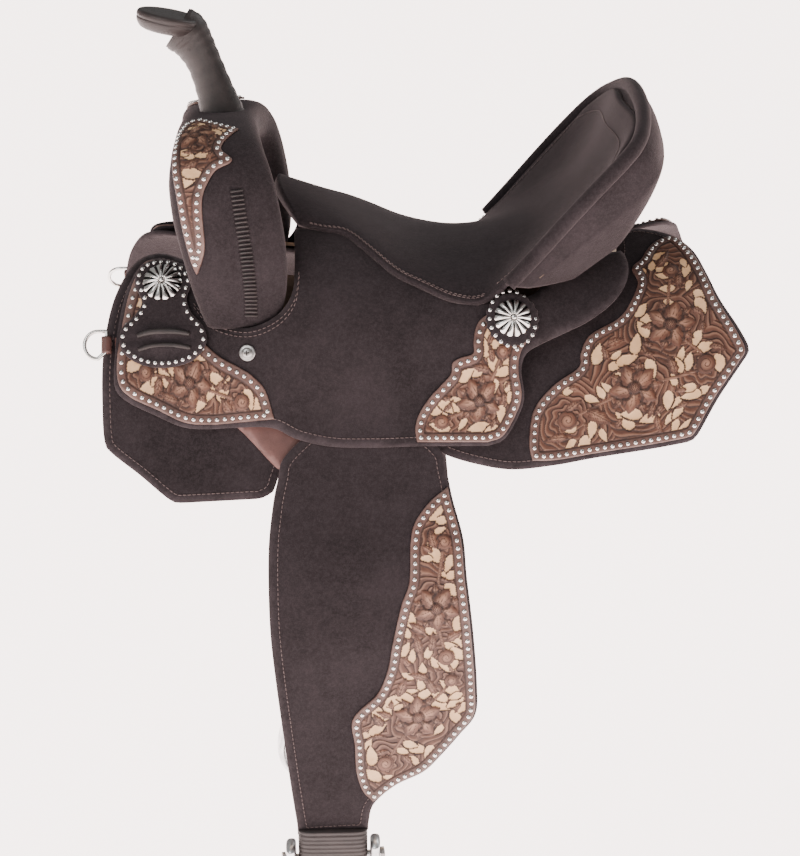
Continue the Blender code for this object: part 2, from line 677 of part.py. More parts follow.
GROUND_WIDTH = 0.78         # width of the ground seat, as a share of the seat's


def ground_row(k, count=9):
    """Top follows the seat's underside; the base rests above the skirt and bars."""
    top = [p + Vector((0, 0, -0.0008)) for p in seat_row(k, SEAT_T, count)]
    trimmed = []
    for p in top:
        trimmed.append(Vector((p.x, p.y * GROUND_WIDTH, p.z)))
    base = [Vector((p.x, p.y, p.z - GROUND_T)) for p in trimmed]
    return trimmed + base[::-1]


ground_seat = loft("ground_seat", [ground_row(k) for k in range(1, len(SEAT_ROWS))], steel())


def rim_full():
    left = [Vector((x, -y, z)) for x, y, z in RIM]
    return left + [Vector((p.x, -p.y, p.z)) for p in reversed(left[:-1])]


def rim_sweep(name, low, high, back, front, mat):
    """Strip behind the dish, from just inside the cantle's rim to a share of the way to its foot.

    It is thickest at the top of the cantle and thins towards the corners.
    """
    rings = []
    for p in rim_full():
        full = min(max((p.z - RIM[0][2]) / CANTLE_THICKEN, 0.0), 1.0)
        share = CORNER_SHARE + (1 - CORNER_SHARE) * full
        near, far = (CANTLE_FACE + (depth - CANTLE_FACE) * share for depth in (front, back))
        reach = Vector((CANTLE_FOOT[0], p.y * 0.55, CANTLE_FOOT[1])) - p
        inward = reach.normalized()
        deep = reach.length * high
        behind = Vector((0.86, 0.0, -0.50))
        rings.append([p + inward * low + behind * near, p + inward * low + behind * far,
                      p + inward * deep + behind * far, p + inward * deep + behind * near])
    return loft(name, rings, mat)


cantle_board = rim_sweep("cantle_board", 0.012, 0.50, 0.0340, CANTLE_FACE, tree_wood())
cantle_back = rim_sweep("cantle_back", 0.012, 0.62, 0.0405, 0.0370, suede())
binding_rings = []
rim_points = rim_full()
for k, p in enumerate(rim_points):
    a, b = rim_points[max(k - 1, 0)], rim_points[min(k + 1, len(rim_points) - 1)]
    run = (b - a).normalized()
    inward = Vector((CANTLE_FOOT[0], p.y * 0.55, CANTLE_FOOT[1])) - p
    inward = (inward - run * inward.dot(run)).normalized()
    binding_rings.append(ring_at(p + BINDING_AT, inward, run.cross(inward), BINDING_R, BINDING_R, 10))
cantle_binding = loft("cantle_binding", binding_rings, suede())


# ---------------------------------------------------------------- layers of each side
def build_side(word, side):
    def put(name, outline, low, high, mat, over=False):
        return layer(f"{name}_{word}", outline, low, high, mat, side, over)

    put("skirt", skirt_outline(), -SKIRT_T, 0.0, suede())
    put("fleece", fleece_outline(), -SKIRT_T - GAP - FLEECE_T, -SKIRT_T - GAP, fleece_wool())
    put("rigging_leather", rig_outline(), GAP, GAP + RIG_T, smooth_leather())
    put("jockey", jockey_outline(), GAP, GAP + JOCKEY_T, suede(), True)
    top = JOCKEY_T + 2 * GAP
    put("front_overlay", front_overlay_outline(), top, top + OVERLAY_T, tooled_leather(), True)
    put("rear_overlay", rear_overlay_outline(), top, top + OVERLAY_T, tooled_leather(), True)
    put("skirt_overlay", skirt_overlay_outline(), GAP, GAP + OVERLAY_T, tooled_leather())
    keeper_n = top + OVERLAY_T + GAP
    put("latigo_keeper", keeper_outline(), keeper_n, keeper_n + KEEPER_T, suede(), True)
    stand = side_frame(-0.281, 0.090, keeper_n + KEEPER_T + 0.0010, True, side)
    disc(f"front_concho_{word}", stand, ((0.020, 0.0), (0.021, 0.0012), (0.016, 0.0040), (0.007, 0.0060),
                                         (0.0045, 0.0064)), silver(), 1, 0.07, 32)
    stand = side_frame(0.047, 0.132, top + OVERLAY_T + 0.0012, True, side)
    disc(f"rear_rosette_{word}", stand, ((0.0255, 0.0), (0.0260, 0.0012), (0.0245, 0.0030)), suede())
    at, along, down, out = stand
    disc(f"rear_concho_{word}", (at + out * (0.0030 + GAP), along, down, out),
         ((0.0195, 0.0), (0.0205, 0.0012), (0.016, 0.0040), (0.007, 0.0060), (0.0045, 0.0064)), silver(), 1,
         0.07, 32)
    stand = side_frame(-0.206, 0.1495, top + 0.0003, True, side)
    disc(f"jockey_screw_{word}", stand, ((0.0080, 0.0), (0.0080, 0.0008), (0.0055, 0.0022), (0.0035, 0.0030)),
         silver(), count=20)

    # bars of the tree, under the jockey
    layer(f"tree_bar_{word}", bar_outline(), 0.0008 + RIG_T, 0.0, tree_wood(), side, False, bar_point)


for word, side in (("left", -1), ("right", 1)):
    build_side(word, side)


# ---------------------------------------------------------------- fender, strap and stirrup
def build_leg(word, side):
    high = FENDER_N + FENDER_T
    lines = BEND_LINES
    hanger = layer(f"stirrup_hanger_{word}", hanger_outline(), FENDER_N, high, smooth_leather(), side, False,
                   fender_point, lines)
    fender = layer(f"fender_{word}", fender_outline(), FENDER_N, high, suede(), side, False, fender_point,
                   lines)
    overlay = layer(f"fender_overlay_{word}", fender_overlay_outline(), high + GAP, high + GAP + OVERLAY_T,
                    tooled_leather(), side, False, fender_point, lines)
    strap_n = FENDER_N - 0.0070
    strap = layer(f"stirrup_strap_{word}", strap_outline(), strap_n, strap_n + 0.0040, smooth_leather(), side,
                  False, fender_point, lines)
    plate_out = [(-0.1665, 0.470), (-0.1165, 0.470), (-0.1165, 0.560), (-0.1665, 0.560)]
    plate = layer(f"buckle_plate_{word}", plate_out, strap_n - 0.0020, strap_n - GAP, steel(), side, False,
                  fender_point, lines)
    sleeve_z = fender_point(0.0, 0.535, 0.0).z
    inner = fender_point(STIRRUP_X, 0.535, strap_n - 0.0020 - 0.0006, False, side)
    outer = fender_point(STIRRUP_X, 0.535, strap_n + 0.0040 + 0.0006, False, side)
    sleeve = sleeve_ring(f"buckle_sleeve_{word}", side, inner.y, outer.y, sleeve_z)
    neck = strap_neck(f"stirrup_neck_{word}", side)
    bolt_at = stirrup_axis(side)
    bolt = loft(f"stirrup_bolt_{word}", [ring_at(bolt_at + Vector((x, 0, 0)), Vector((0, 1, 0)),
                                                 Vector((0, 0, 1)), r, r, 16)
                for x, r in ((-FRAME_TOP_W / 2 - 0.004, 0.0065), (-FRAME_TOP_W / 2 - GAP, 0.0065),
                             (-FRAME_TOP_W / 2 - GAP, BOLT_R - 0.001),
                             (FRAME_TOP_W / 2 + GAP, BOLT_R - 0.001), (FRAME_TOP_W / 2 + GAP, 0.0065),
                             (FRAME_TOP_W / 2 + 0.004, 0.0065))], steel())
    frame = stirrup_frame(f"stirrup_frame_{word}", side)
    hinge(f"tilt_axis_{word}", bolt_at, [frame, bolt])
    hinge(f"turn_axis_{word}", bolt_at, [neck])
    lift_at = fender_point(0.0, LIFT_S, high, False, side)
    hinge(f"lift_axis_{word}", (PIVOT_X, lift_at.y, lift_at.z), [fender, overlay, strap, plate, sleeve])
    pivot = fender_point(PIVOT_X, PIVOT_S, FENDER_N, False, side)
    hinge(f"swing_axis_{word}", pivot, [hanger])


def stirrup_axis(side):
    at = fender_point(STIRRUP_X, FENDER_END, FENDER_N + FENDER_T / 2 - 0.001, False, side)
    return Vector((STIRRUP_X, at.y, BOLT_Z))


def sleeve_ring(name, side, y_in, y_out, z):
    """Flat tube around the strap and its plate."""
    rings = []
    half, wall, high = 0.0360, 0.0013, 0.030
    lo, hi = min(y_in, y_out), max(y_in, y_out)
    for zz in (z - high / 2, z + high / 2):
        outer = [Vector((STIRRUP_X - half - wall, lo - wall, zz)),
                 Vector((STIRRUP_X + half + wall, lo - wall, zz)),
                 Vector((STIRRUP_X + half + wall, hi + wall, zz)),
                 Vector((STIRRUP_X - half - wall, hi + wall, zz))]
        inner = [Vector((STIRRUP_X - half, lo, zz)), Vector((STIRRUP_X + half, lo, zz)),
                 Vector((STIRRUP_X + half, hi, zz)), Vector((STIRRUP_X - half, hi, zz))]
        rings.append((outer, inner))
    (o0, i0), (o1, i1) = rings
    return loft(name, [o0, o1, i1, i0], steel(), capped=False)


def strap_neck(name, side):
    """Leather loop from the fender's end around the stirrup bolt."""
    at = stirrup_axis(side)
    top = fender_point(0.0, FENDER_END, 0.0, False, side).z - 0.0006
    outer, inner = [], []
    half = 0.0070
    count = 20
    for k in range(count):
        a = 2 * math.pi * k / count
        inner.append((BOLT_R * math.cos(a), BOLT_R * math.sin(a)))
        c, s = math.cos(a), math.sin(a)
        if s > 0:
            outer.append((max(-half, min(half, 0.0125 * c)),
                          min((top - BOLT_Z), (top - BOLT_Z) * s / max(abs(c), s))))
        else:
            outer.append((0.0115 * c, 0.0115 * s))
    rows = []
    for loop, x in ((outer, -NECK_W / 2), (outer, NECK_W / 2), (inner, NECK_W / 2), (inner, -NECK_W / 2)):
        rows.append([at + Vector((x, y, z)) for y, z in loop])
    return loft(name, rows, smooth_leather(), capped=False)


def stirrup_frame(name, side):
    """Bell-shaped frame in the plane of the fender, with a broad tread bar."""
    at = stirrup_axis(side)
    top = 0.014
    w0, w1 = FRAME_TOP_W / 2, FRAME_BOTTOM_W / 2
    outline = [(-w0, top), (-w0, -0.012), (-w0 - 0.006, -0.040), (-w1 + 0.006, -0.085),
               (-w1, -FRAME_H + 0.030), (-w1 + 0.010, -FRAME_H + 0.008), (-w1 + 0.030, -FRAME_H),
               (w1 - 0.030, -FRAME_H), (w1 - 0.010, -FRAME_H + 0.008), (w1, -FRAME_H + 0.030),
               (w1 - 0.006, -0.085), (w0 + 0.006, -0.040), (w0, -0.012), (w0, top)]
    bar = FRAME_BAR
    inner = [(-w0 + bar, top), (-w0 + bar, -0.012), (-w0 - 0.006 + bar, -0.040), (-w1 + 0.006 + bar, -0.085),
             (-w1 + bar, -FRAME_H + 0.034),
             (-w1 + 0.008 + bar, -FRAME_H + 0.018), (-w1 + 0.030 + bar * 0.6, -FRAME_H + bar),
             (w1 - 0.030 - bar * 0.6, -FRAME_H + bar), (w1 - 0.008 - bar, -FRAME_H + 0.018),
             (w1 - bar, -FRAME_H + 0.034), (w1 - 0.006 - bar, -0.085),
             (w0 + 0.006 - bar, -0.040), (w0 - bar, -0.012), (w0 - bar, top)]
    rings = []
    for (ox, oz), (ix, iz) in zip(outline, inner):
        low = -(oz + iz) / 2
        depth = 0.013 + (TREAD_DEPTH / 2 - 0.013) * min(max((low - 0.030) / (FRAME_H - 0.040), 0.0), 1.0)
        rings.append([at + Vector((ox, -depth, oz)), at + Vector((ox, depth, oz)),
                      at + Vector((ix, depth, iz)), at + Vector((ix, -depth, iz))])
    made = loft(name, rings, aluminium())
    bore = loft(f"bolt_bore_{name}", [ring_at(at + Vector((x, 0, 0)), Vector((0, 1, 0)), Vector((0, 0, 1)),
                                              BOLT_R - 0.001 + GAP, BOLT_R - 0.001 + GAP, 16)
                for x in (-0.08, 0.08)], steel())
    cut(made, bore)
    return made


for word, side in (("left", -1), ("right", 1)):
    build_leg(word, side)


# ---------------------------------------------------------------- breast-collar dee
def build_dee(word, side):
    """Wire dee lying off the front edge of the rigging leather, in a leather loop."""
    at, along, down, out = side_frame(-0.3385, 0.137, 0.0065, False, side)
    wire, half = 0.0019, 0.0135
    centre_line = []
    for k in range(13):
        a = math.pi / 2 + math.pi * k / 12
        centre_line.append((-0.0085 + 0.0125 * math.cos(a), half * math.sin(a)))
    loop = [(0.0, -half), (0.0, 0.0), (0.0, half)] + centre_line
    rings = []
    count = len(loop)
    for k in range(count):
        a, b = loop[k - 1], loop[(k + 1) % count]
        run = (along * (b[0] - a[0]) + down * (b[1] - a[1])).normalized()
        p = at + along * loop[k][0] + down * loop[k][1]
        rings.append(ring_at(p, run.cross(out), out, wire, wire, 8))
    dee = loft(f"collar_dee_{word}", rings, silver(), capped=False)
    outer = [ring_at(at + down * t, along, out, 0.0050, 0.0050, 12) for t in (-0.008, 0.008)]
    inner = [ring_at(at + down * t, along, out, 0.0024, 0.0024, 12) for t in (0.008, -0.008)]
    loft(f"collar_chape_{word}", outer + inner, smooth_leather(), capped=False)
    hinge(f"dee_axis_{word}", at, [dee])


for word, side in (("left", -1), ("right", 1)):
    build_dee(word, side)
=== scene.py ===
# %% [markdown]
# # A western barrel saddle
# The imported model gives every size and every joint. This script adds the looks: napped suede, carved
# leather with studs, a padded seat, stitching, silver conchos, wool fleece and metal stirrups. It starts
# by loading the frame and noting the box that the pieces have to stay in.

# %% Load the frame
import json
import math
import random
import bpy
import bmesh
import numpy as np
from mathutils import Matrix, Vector
from mathutils.geometry import delaunay_2d_cdt


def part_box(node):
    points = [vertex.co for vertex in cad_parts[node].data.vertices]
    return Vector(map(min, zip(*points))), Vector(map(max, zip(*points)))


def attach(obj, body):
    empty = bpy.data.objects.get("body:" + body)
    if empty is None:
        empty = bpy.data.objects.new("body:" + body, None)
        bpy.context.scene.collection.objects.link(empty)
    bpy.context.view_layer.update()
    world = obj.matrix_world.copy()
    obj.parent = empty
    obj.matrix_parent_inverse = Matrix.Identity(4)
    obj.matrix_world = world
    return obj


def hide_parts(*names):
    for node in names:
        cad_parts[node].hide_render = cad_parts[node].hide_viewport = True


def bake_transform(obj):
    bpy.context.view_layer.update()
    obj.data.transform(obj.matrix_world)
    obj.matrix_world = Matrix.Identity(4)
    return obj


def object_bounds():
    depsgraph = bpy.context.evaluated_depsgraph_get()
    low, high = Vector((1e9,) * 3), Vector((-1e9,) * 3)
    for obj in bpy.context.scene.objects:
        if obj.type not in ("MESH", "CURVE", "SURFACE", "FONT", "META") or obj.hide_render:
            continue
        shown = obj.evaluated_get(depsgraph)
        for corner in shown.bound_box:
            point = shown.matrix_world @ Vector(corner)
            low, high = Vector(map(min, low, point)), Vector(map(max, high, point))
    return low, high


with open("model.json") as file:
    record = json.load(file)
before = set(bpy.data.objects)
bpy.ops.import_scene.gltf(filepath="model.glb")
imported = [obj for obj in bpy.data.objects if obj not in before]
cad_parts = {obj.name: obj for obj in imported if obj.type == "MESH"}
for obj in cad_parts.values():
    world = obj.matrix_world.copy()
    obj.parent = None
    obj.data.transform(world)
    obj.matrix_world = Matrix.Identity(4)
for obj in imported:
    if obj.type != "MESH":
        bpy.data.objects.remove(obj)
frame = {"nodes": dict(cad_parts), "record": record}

CAD_BOX = [list(corner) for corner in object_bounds()]
SIDES = (("left", -1), ("right", 1))
print("frame", len(frame["nodes"]), "nodes, box", CAD_BOX)

# %% [markdown]
# ## Camera
# A saddle is shown from its near side, a little above, so that the seat's hollow can be seen. A long lens
# keeps the horn and the rear skirt in proportion. The camera is placed from the saddle's own origin, a
# known point on the middle plane, so that the framing holds if the model changes.

# %% Camera
VIEW_AZIMUTH, VIEW_ELEVATION = math.radians(2.0), math.radians(20.0)
LENS_MM, SENSOR_MM = 85.0, 36.0
LOOK_AT = Vector((-0.0426, -0.0641, -0.0851))
LOOK_DISTANCE = 2.039


def add_camera():
    back = Vector((-math.sin(VIEW_AZIMUTH) * math.cos(VIEW_ELEVATION),
                   -math.cos(VIEW_AZIMUTH) * math.cos(VIEW_ELEVATION), math.sin(VIEW_ELEVATION)))
    data = bpy.data.cameras.new("camera")
    data.lens = LENS_MM
    data.sensor_width = SENSOR_MM
    data.sensor_fit = "AUTO"
    camera = bpy.data.objects.new("camera", data)
    bpy.context.scene.collection.objects.link(camera)
    camera.location = LOOK_AT + back * LOOK_DISTANCE
    camera.rotation_euler = back.to_track_quat("Z", "Y").to_euler()
    bpy.context.scene.camera = camera
    return camera


camera = add_camera()
print("camera at", [round(v, 3) for v in camera.location])

# %% [markdown]
# ## Studio
# A wide pale floor that is lit from within, like a light table, a weak surrounding light and two large
# soft lamps. The floor keeps the ground behind the saddle even, and big lamps give suede its soft
# fall-off and give the silver long clean highlights.

# %% Floor and lights
FLOOR_COLOR, FLOOR_GLOW, FLOOR_GLOW_STRENGTH = (0.90, 0.835, 0.82, 1.0), (1.0, 0.850, 0.815, 1.0), 5.2
FLOOR_DROP, FLOOR_SIZE = 0.30, 14.0
AIR_COLOR, AIR_STRENGTH = (1.0, 0.985, 0.97, 1.0), 0.35


def add_floor():
    low = CAD_BOX[0][2] - FLOOR_DROP
    bm = bmesh.new()
    bmesh.ops.create_grid(bm, x_segments=8, y_segments=8, size=FLOOR_SIZE)
    mesh = bpy.data.meshes.new("studio_floor")
    bm.to_mesh(mesh)
    bm.free()
    floor = bpy.data.objects.new("studio_floor", mesh)
    floor.location = (0.0, 0.0, low)
    bpy.context.scene.collection.objects.link(floor)
    paint = bpy.data.materials.new("pale paper")
    paint.use_nodes = True
    shader = paint.node_tree.nodes["Principled BSDF"]
    shader.inputs["Base Color"].default_value = FLOOR_COLOR
    shader.inputs["Roughness"].default_value = 0.9
    shader.inputs["Emission Color"].default_value = FLOOR_GLOW
    shader.inputs["Emission Strength"].default_value = FLOOR_GLOW_STRENGTH
    mesh.materials.append(paint)


def add_lamp(name, place, aim, size, watts):
    data = bpy.data.lights.new(name, "AREA")
    data.shape = "SQUARE"
    data.size = size
    data.energy = watts
    lamp = bpy.data.objects.new(name, data)
    lamp.location = place
    lamp.rotation_euler = (Vector(place) - Vector(aim)).to_track_quat("Z", "Y").to_euler()
    bpy.context.scene.collection.objects.link(lamp)


def add_sky():
    world = bpy.data.worlds.new("studio_air")
    world.use_nodes = True
    world.node_tree.nodes["Background"].inputs["Color"].default_value = AIR_COLOR
    world.node_tree.nodes["Background"].inputs["Strength"].default_value = AIR_STRENGTH
    bpy.context.scene.world = world


add_floor()
add_sky()
add_lamp("key", (-2.2, -2.6, 3.0), (0.0, 0.0, -0.1), 2.6, 95.0)
add_lamp("rim", (2.4, 1.6, 2.6), (0.0, 0.0, 0.0), 2.2, 45.0)
print("studio ready")

# %% [markdown]
# ## The shape of a side
# Every leather layer lies on one profile, the horse's side. A place on it has three numbers: x along the
# saddle, s down the side from the middle line, and n out from the skirt's face. One function turns them
# into a point, so skirts, jockeys, overlays, studs and stitches all follow the same curve.

# %% Side profile
SPINE_Z, TOP_ANGLE, SIDE_ANGLE, ROUND_LEN = 0.090, math.radians(12.0), math.radians(68.0), 0.200
REAR_LIFT = ((0.10, 0.0), (0.15, 0.003), (0.20, 0.008), (0.25, 0.016), (0.30, 0.022))
FRONT_LIFT = ((-0.35, 0.050), (-0.30, 0.040), (-0.25, 0.030), (-0.20, 0.020), (-0.15, 0.010),
              (-0.10, 0.003), (-0.05, 0.0))
FRONT_FADE = ((0.0, 1.0), (0.04, 0.95), (0.08, 0.75), (0.12, 0.40), (0.16, 0.12), (0.20, 0.0))
JOCKEY_STEP = ((-0.25, 0.0040), (-0.20, 0.0083), (0.05, 0.0083), (0.10, 0.0040))
TREE_RISE = ((-0.30, 0.0), (-0.25, 0.010), (-0.20, 0.030), (-0.15, 0.040), (-0.10, 0.040), (-0.05, 0.034),
             (0.0, 0.030), (0.05, 0.030), (0.10, 0.015), (0.20, 0.013), (0.25, 0.0))
TREE_FADE = ((0.08, 1.0), (0.12, 0.9), (0.16, 0.4), (0.20, 0.0))
SWEEP, SWEEP_ROUND, TILT = 0.150, 0.050, 0.0442


def soft(table, value, width):
    """Value of a table of (place, value) pairs, averaged over a width so that it has no kinks."""
    xs, ys = zip(*table)
    return sum(np.interp(value + width * k / 2, xs, ys) for k in (-2, -1, 0, 1, 2)) / 5


def swept(points):
    """Points moved back as the sides sweep away from the middle plane, and tilted nose down."""
    points = np.array(points, float)
    points[..., 0] += SWEEP * (np.hypot(points[..., 1], SWEEP_ROUND) - SWEEP_ROUND)
    points[..., 2] += TILT * points[..., 0]
    return points


def plain_side(x, s, n, side, over=False):
    x, s, n = np.broadcast_arrays(np.asarray(x, float), np.asarray(s, float), np.asarray(n, float))
    f = TOP_ANGLE + (SIDE_ANGLE - TOP_ANGLE) * np.clip(s / ROUND_LEN, 0.0, 1.0)
    radius = ROUND_LEN / (SIDE_ANGLE - TOP_ANGLE)
    below = np.maximum(s - ROUND_LEN, 0.0)
    lift = soft(REAR_LIFT, x, 0.02) + soft(FRONT_LIFT, x, 0.02) * soft(FRONT_FADE, s, 0.02)
    if over:
        n = n + soft(JOCKEY_STEP, x, 0.02) + soft(TREE_RISE, x, 0.02) * soft(TREE_FADE, s, 0.02)
    y = radius * (np.sin(f) - math.sin(TOP_ANGLE)) + below * np.cos(f) + n * np.sin(f)
    z = SPINE_Z - radius * (math.cos(TOP_ANGLE) - np.cos(f)) - below * np.sin(f) + lift + n * np.cos(f)
    return np.stack([x, side * y, z], -1)


def on_side(x, s, n, side):
    return swept(plain_side(x, s, n, side))


def on_jockey(x, s, n, side):
    return swept(plain_side(x, s, n, side, True))


BEND_S, BEND_R = 0.325, 0.300


def on_fender(x, t, n, side):
    """The fender follows the side to its bend and then hangs plumb."""
    x, t, n = np.broadcast_arrays(np.asarray(x, float), np.asarray(t, float), np.asarray(n, float))
    full = math.pi / 2 - SIDE_ANGLE
    turn = full * np.clip((t - BEND_S) / (BEND_R * full), 0.0, 1.0)
    f = SIDE_ANGLE + turn
    plumb = np.maximum(t - BEND_S - BEND_R * full, 0.0)
    base = on_side(0.0, np.minimum(t, BEND_S), 0.0, 1)
    y = base[..., 1] + BEND_R * (np.sin(f) - math.sin(SIDE_ANGLE)) + plumb * np.cos(f) + n * np.sin(f)
    z = base[..., 2] - BEND_R * (math.cos(SIDE_ANGLE) - np.cos(f)) - plumb * np.sin(f) + n * np.cos(f)
    return swept(np.stack([x, side * y, z], -1))


# %% [markdown]
# ## Outlines
# A leather worker cuts each piece to a pattern. Here a pattern is a short list of points: a third value
# of 1 marks a sharp corner, and everything between is a smooth curve. The helpers walk along a pattern
# in even steps, measure how far a place is from its edge, and shift a line inward for stitches or studs.

# %% Pattern helpers
def smooth_line(points, closed=True, steps=10):
    out, count = [], len(points)
    spans = count if closed else count - 1
    for k in range(spans):
        p0, p1, p2, p3 = (points[(k + d) % count] if closed else points[min(max(k + d, 0), count - 1)]
                          for d in (-1, 0, 1, 2))
        sharp1, sharp2 = len(p1) > 2, len(p2) > 2
        for step in range(1 if sharp1 and sharp2 else steps):
            t = step / steps
            here = []
            for a in (0, 1):
                m1 = (p2[a] - p1[a]) if sharp1 else (p2[a] - p0[a]) / 2
                m2 = (p2[a] - p1[a]) if sharp2 else (p3[a] - p1[a]) / 2
                here.append((2 * t**3 - 3 * t**2 + 1) * p1[a] + (t**3 - 2 * t**2 + t) * m1
                            + (3 * t**2 - 2 * t**3) * p2[a] + (t**3 - t**2) * m2)
            out.append(here)
    if not closed:
        out.append(list(points[-1][:2]))
    return np.array(out)


def even_steps(line, step, closed=True):
    """Points at even steps along a line of any dimension."""
    line = np.asarray(line, float)
    ends = np.vstack([line, line[:1]]) if closed else line
    length = np.concatenate([[0.0], np.cumsum(np.linalg.norm(np.diff(ends, axis=0), axis=1))])
    count = max(int(round(length[-1] / step)), 3)
    at = np.linspace(0.0, length[-1], count + 1)
    at = at[:-1] if closed else at
    return np.stack([np.interp(at, length, ends[:, a]) for a in range(ends.shape[1])], 1)


def inside(points, line):
    """Which points lie within a closed line."""
    a, b = line, np.roll(line, -1, axis=0)
    within = np.zeros(len(points), bool)
    for (ax, ay), (bx, by) in zip(a, b):
        if ay == by:
            continue
        crossing = (ay > points[:, 1]) != (by > points[:, 1])
        within ^= crossing & (points[:, 0] < (bx - ax) * (points[:, 1] - ay) / (by - ay) + ax)
    return within


def edge_distance(points, line, closed=True):
    """Distance from points to a line."""
    a = line if closed else line[:-1]
    b = np.roll(line, -1, axis=0) if closed else line[1:]
    best = np.full(len(points), np.inf)
    for p, q in zip(a, b):
        d = q - p
        t = np.clip(((points - p) @ d) / max(float(d @ d), 1e-15), 0.0, 1.0)
        best = np.minimum(best, np.linalg.norm(points - p - t[:, None] * d, axis=1))
    return best


def inset_line(line, distance, step):
    """A closed line moved inward, without the loops that tight corners would make."""
    fine = even_steps(line, 0.002)
    area = float(np.sum(fine[:, 0] * np.roll(fine[:, 1], -1) - np.roll(fine[:, 0], -1) * fine[:, 1]))
    run = np.roll(fine, -2, axis=0) - np.roll(fine, 2, axis=0)
    run /= np.linalg.norm(run, axis=1)[:, None]
    normal = np.stack([-run[:, 1], run[:, 0]], 1) * (1.0 if area > 0 else -1.0)
    moved = fine + normal * distance
    keep = edge_distance(moved, fine) > distance * 0.93
    return even_steps(moved[keep], step)


# %% [markdown]
# ## Meshes from patterns
# A cut piece is a pattern filled with even points, joined into triangles and laid on the side at its own
# height. The edge is rounded over, as a bevelled leather edge is. A relief can raise or sink the top, and
# each corner carries its distance from the edge, which the materials use for worn and burnished edges.

# %% Cut leather pieces
def fill_pattern(line, step):
    """Even points inside a pattern, joined into triangles, with the border points first."""
    border = even_steps(line, step)
    low, high = border.min(0), border.max(0)
    rows = np.arange(low[1], high[1], step * 0.866)
    grid = [np.stack([np.arange(low[0] + (k % 2) * step / 2, high[0], step),
                      np.full(len(np.arange(low[0] + (k % 2) * step / 2, high[0], step)), y)], 1)
            for k, y in enumerate(rows)]
    grid = np.vstack(grid)
    grid = grid[inside(grid, border)]
    grid = grid[edge_distance(grid, border) > step * 0.55]
    points = np.vstack([border, grid])
    count = len(border)
    found = delaunay_2d_cdt([Vector(p) for p in points], [(k, (k + 1) % count) for k in range(count)], [],
                            1, 1e-9)
    place = np.array([v[:] for v in found[0]])
    order = {source[0]: k for k, source in enumerate(found[3]) if source}
    loop = [order[k] for k in range(count) if k in order]
    return place, [tuple(f) for f in found[2]], loop


def mesh_piece(name, points, faces, material, body, smooth=True, marks=None, replaces=(), slot=None):
    mesh = bpy.data.meshes.new(name)
    mesh.from_pydata([tuple(p) for p in points], [], [tuple(f) for f in faces])
    for mark, values in (marks or {}).items():
        layer = mesh.attributes.new(mark, "FLOAT", "POINT")
        layer.data.foreach_set("value", np.asarray(values, np.float32))
    bm = bmesh.new()
    bm.from_mesh(mesh)
    bmesh.ops.recalc_face_normals(bm, faces=bm.faces[:])
    bm.to_mesh(mesh)
    bm.free()
    mesh.polygons.foreach_set("use_smooth", [smooth] * len(mesh.polygons))
    mesh.materials.append(material)
    made = bpy.data.objects.new(name, mesh)
    bpy.context.scene.collection.objects.link(made)
    if body:
        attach(made, body)
    if replaces:
        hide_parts(*replaces)
    return made


def cut_piece(name, filled, line, low, high, place, side, material, body, round_edge=0.0012,
              relief=None, marks=None, **facts):
    """Closed leather piece: its top follows the relief, its base is the same pattern at a lower height."""
    flat, faces, loop = filled
    reach = edge_distance(flat, line)
    drop = round_edge * (1 - np.sqrt(np.clip(1 - (1 - np.clip(reach / (2 * round_edge), 0, 1)) ** 2, 0, 1)))
    top = high - drop + (relief if relief is not None else 0.0)
    count = len(flat)
    points = np.vstack([place(flat[:, 0], flat[:, 1], top, side), place(flat[:, 0], flat[:, 1], low, side)])
    solid = list(faces) + [tuple(k + count for k in reversed(f)) for f in faces]
    solid += [(a, b, b + count, a + count) for a, b in zip(loop, loop[1:] + loop[:1])]
    every = {"edge": np.concatenate([np.exp(-reach / 0.0035)] * 2)}
    for mark, values in (marks or {}).items():
        every[mark] = np.concatenate([values, values])
    return mesh_piece(name, points, solid, material, body, marks=every, **facts)


def scatter(name, template, places, material, body, smooth=True, **facts):
    """One mesh of many copies of a small shape; each place is (point, three directions as columns)."""
    shape, shape_faces = template
    shape = np.asarray(shape, float)
    at, turns = places
    points = np.einsum("kij,vj->kvi", turns, shape) + at[:, None, :]
    count = len(shape)
    faces = [tuple(v + k * count for v in f) for k in range(len(at)) for f in shape_faces]
    return mesh_piece(name, points.reshape(-1, 3), faces, material, body, smooth, **facts)


def frames_on(place, line, n, side, closed=True):
    """Points along a line on a surface, with directions (along, across, out) as columns."""
    step = 0.0006
    at = place(line[:, 0], line[:, 1], n, side)
    out = place(line[:, 0], line[:, 1], n + step, side) - at
    if closed:
        along = np.roll(at, -1, axis=0) - np.roll(at, 1, axis=0)
    else:
        along = np.gradient(at, axis=0)
    du = place(line[:, 0] + step, line[:, 1], n, side) - at
    dv = place(line[:, 0], line[:, 1] + step, n, side) - at
    normal = np.cross(du, dv)
    normal *= np.sign(np.einsum("ij,ij->i", normal, out))[:, None]
    normal /= np.linalg.norm(normal, axis=1)[:, None]
    along -= normal * np.einsum("ij,ij->i", along, normal)[:, None]
    along /= np.linalg.norm(along, axis=1)[:, None]
    return at, np.stack([along, np.cross(normal, along), normal], 2)


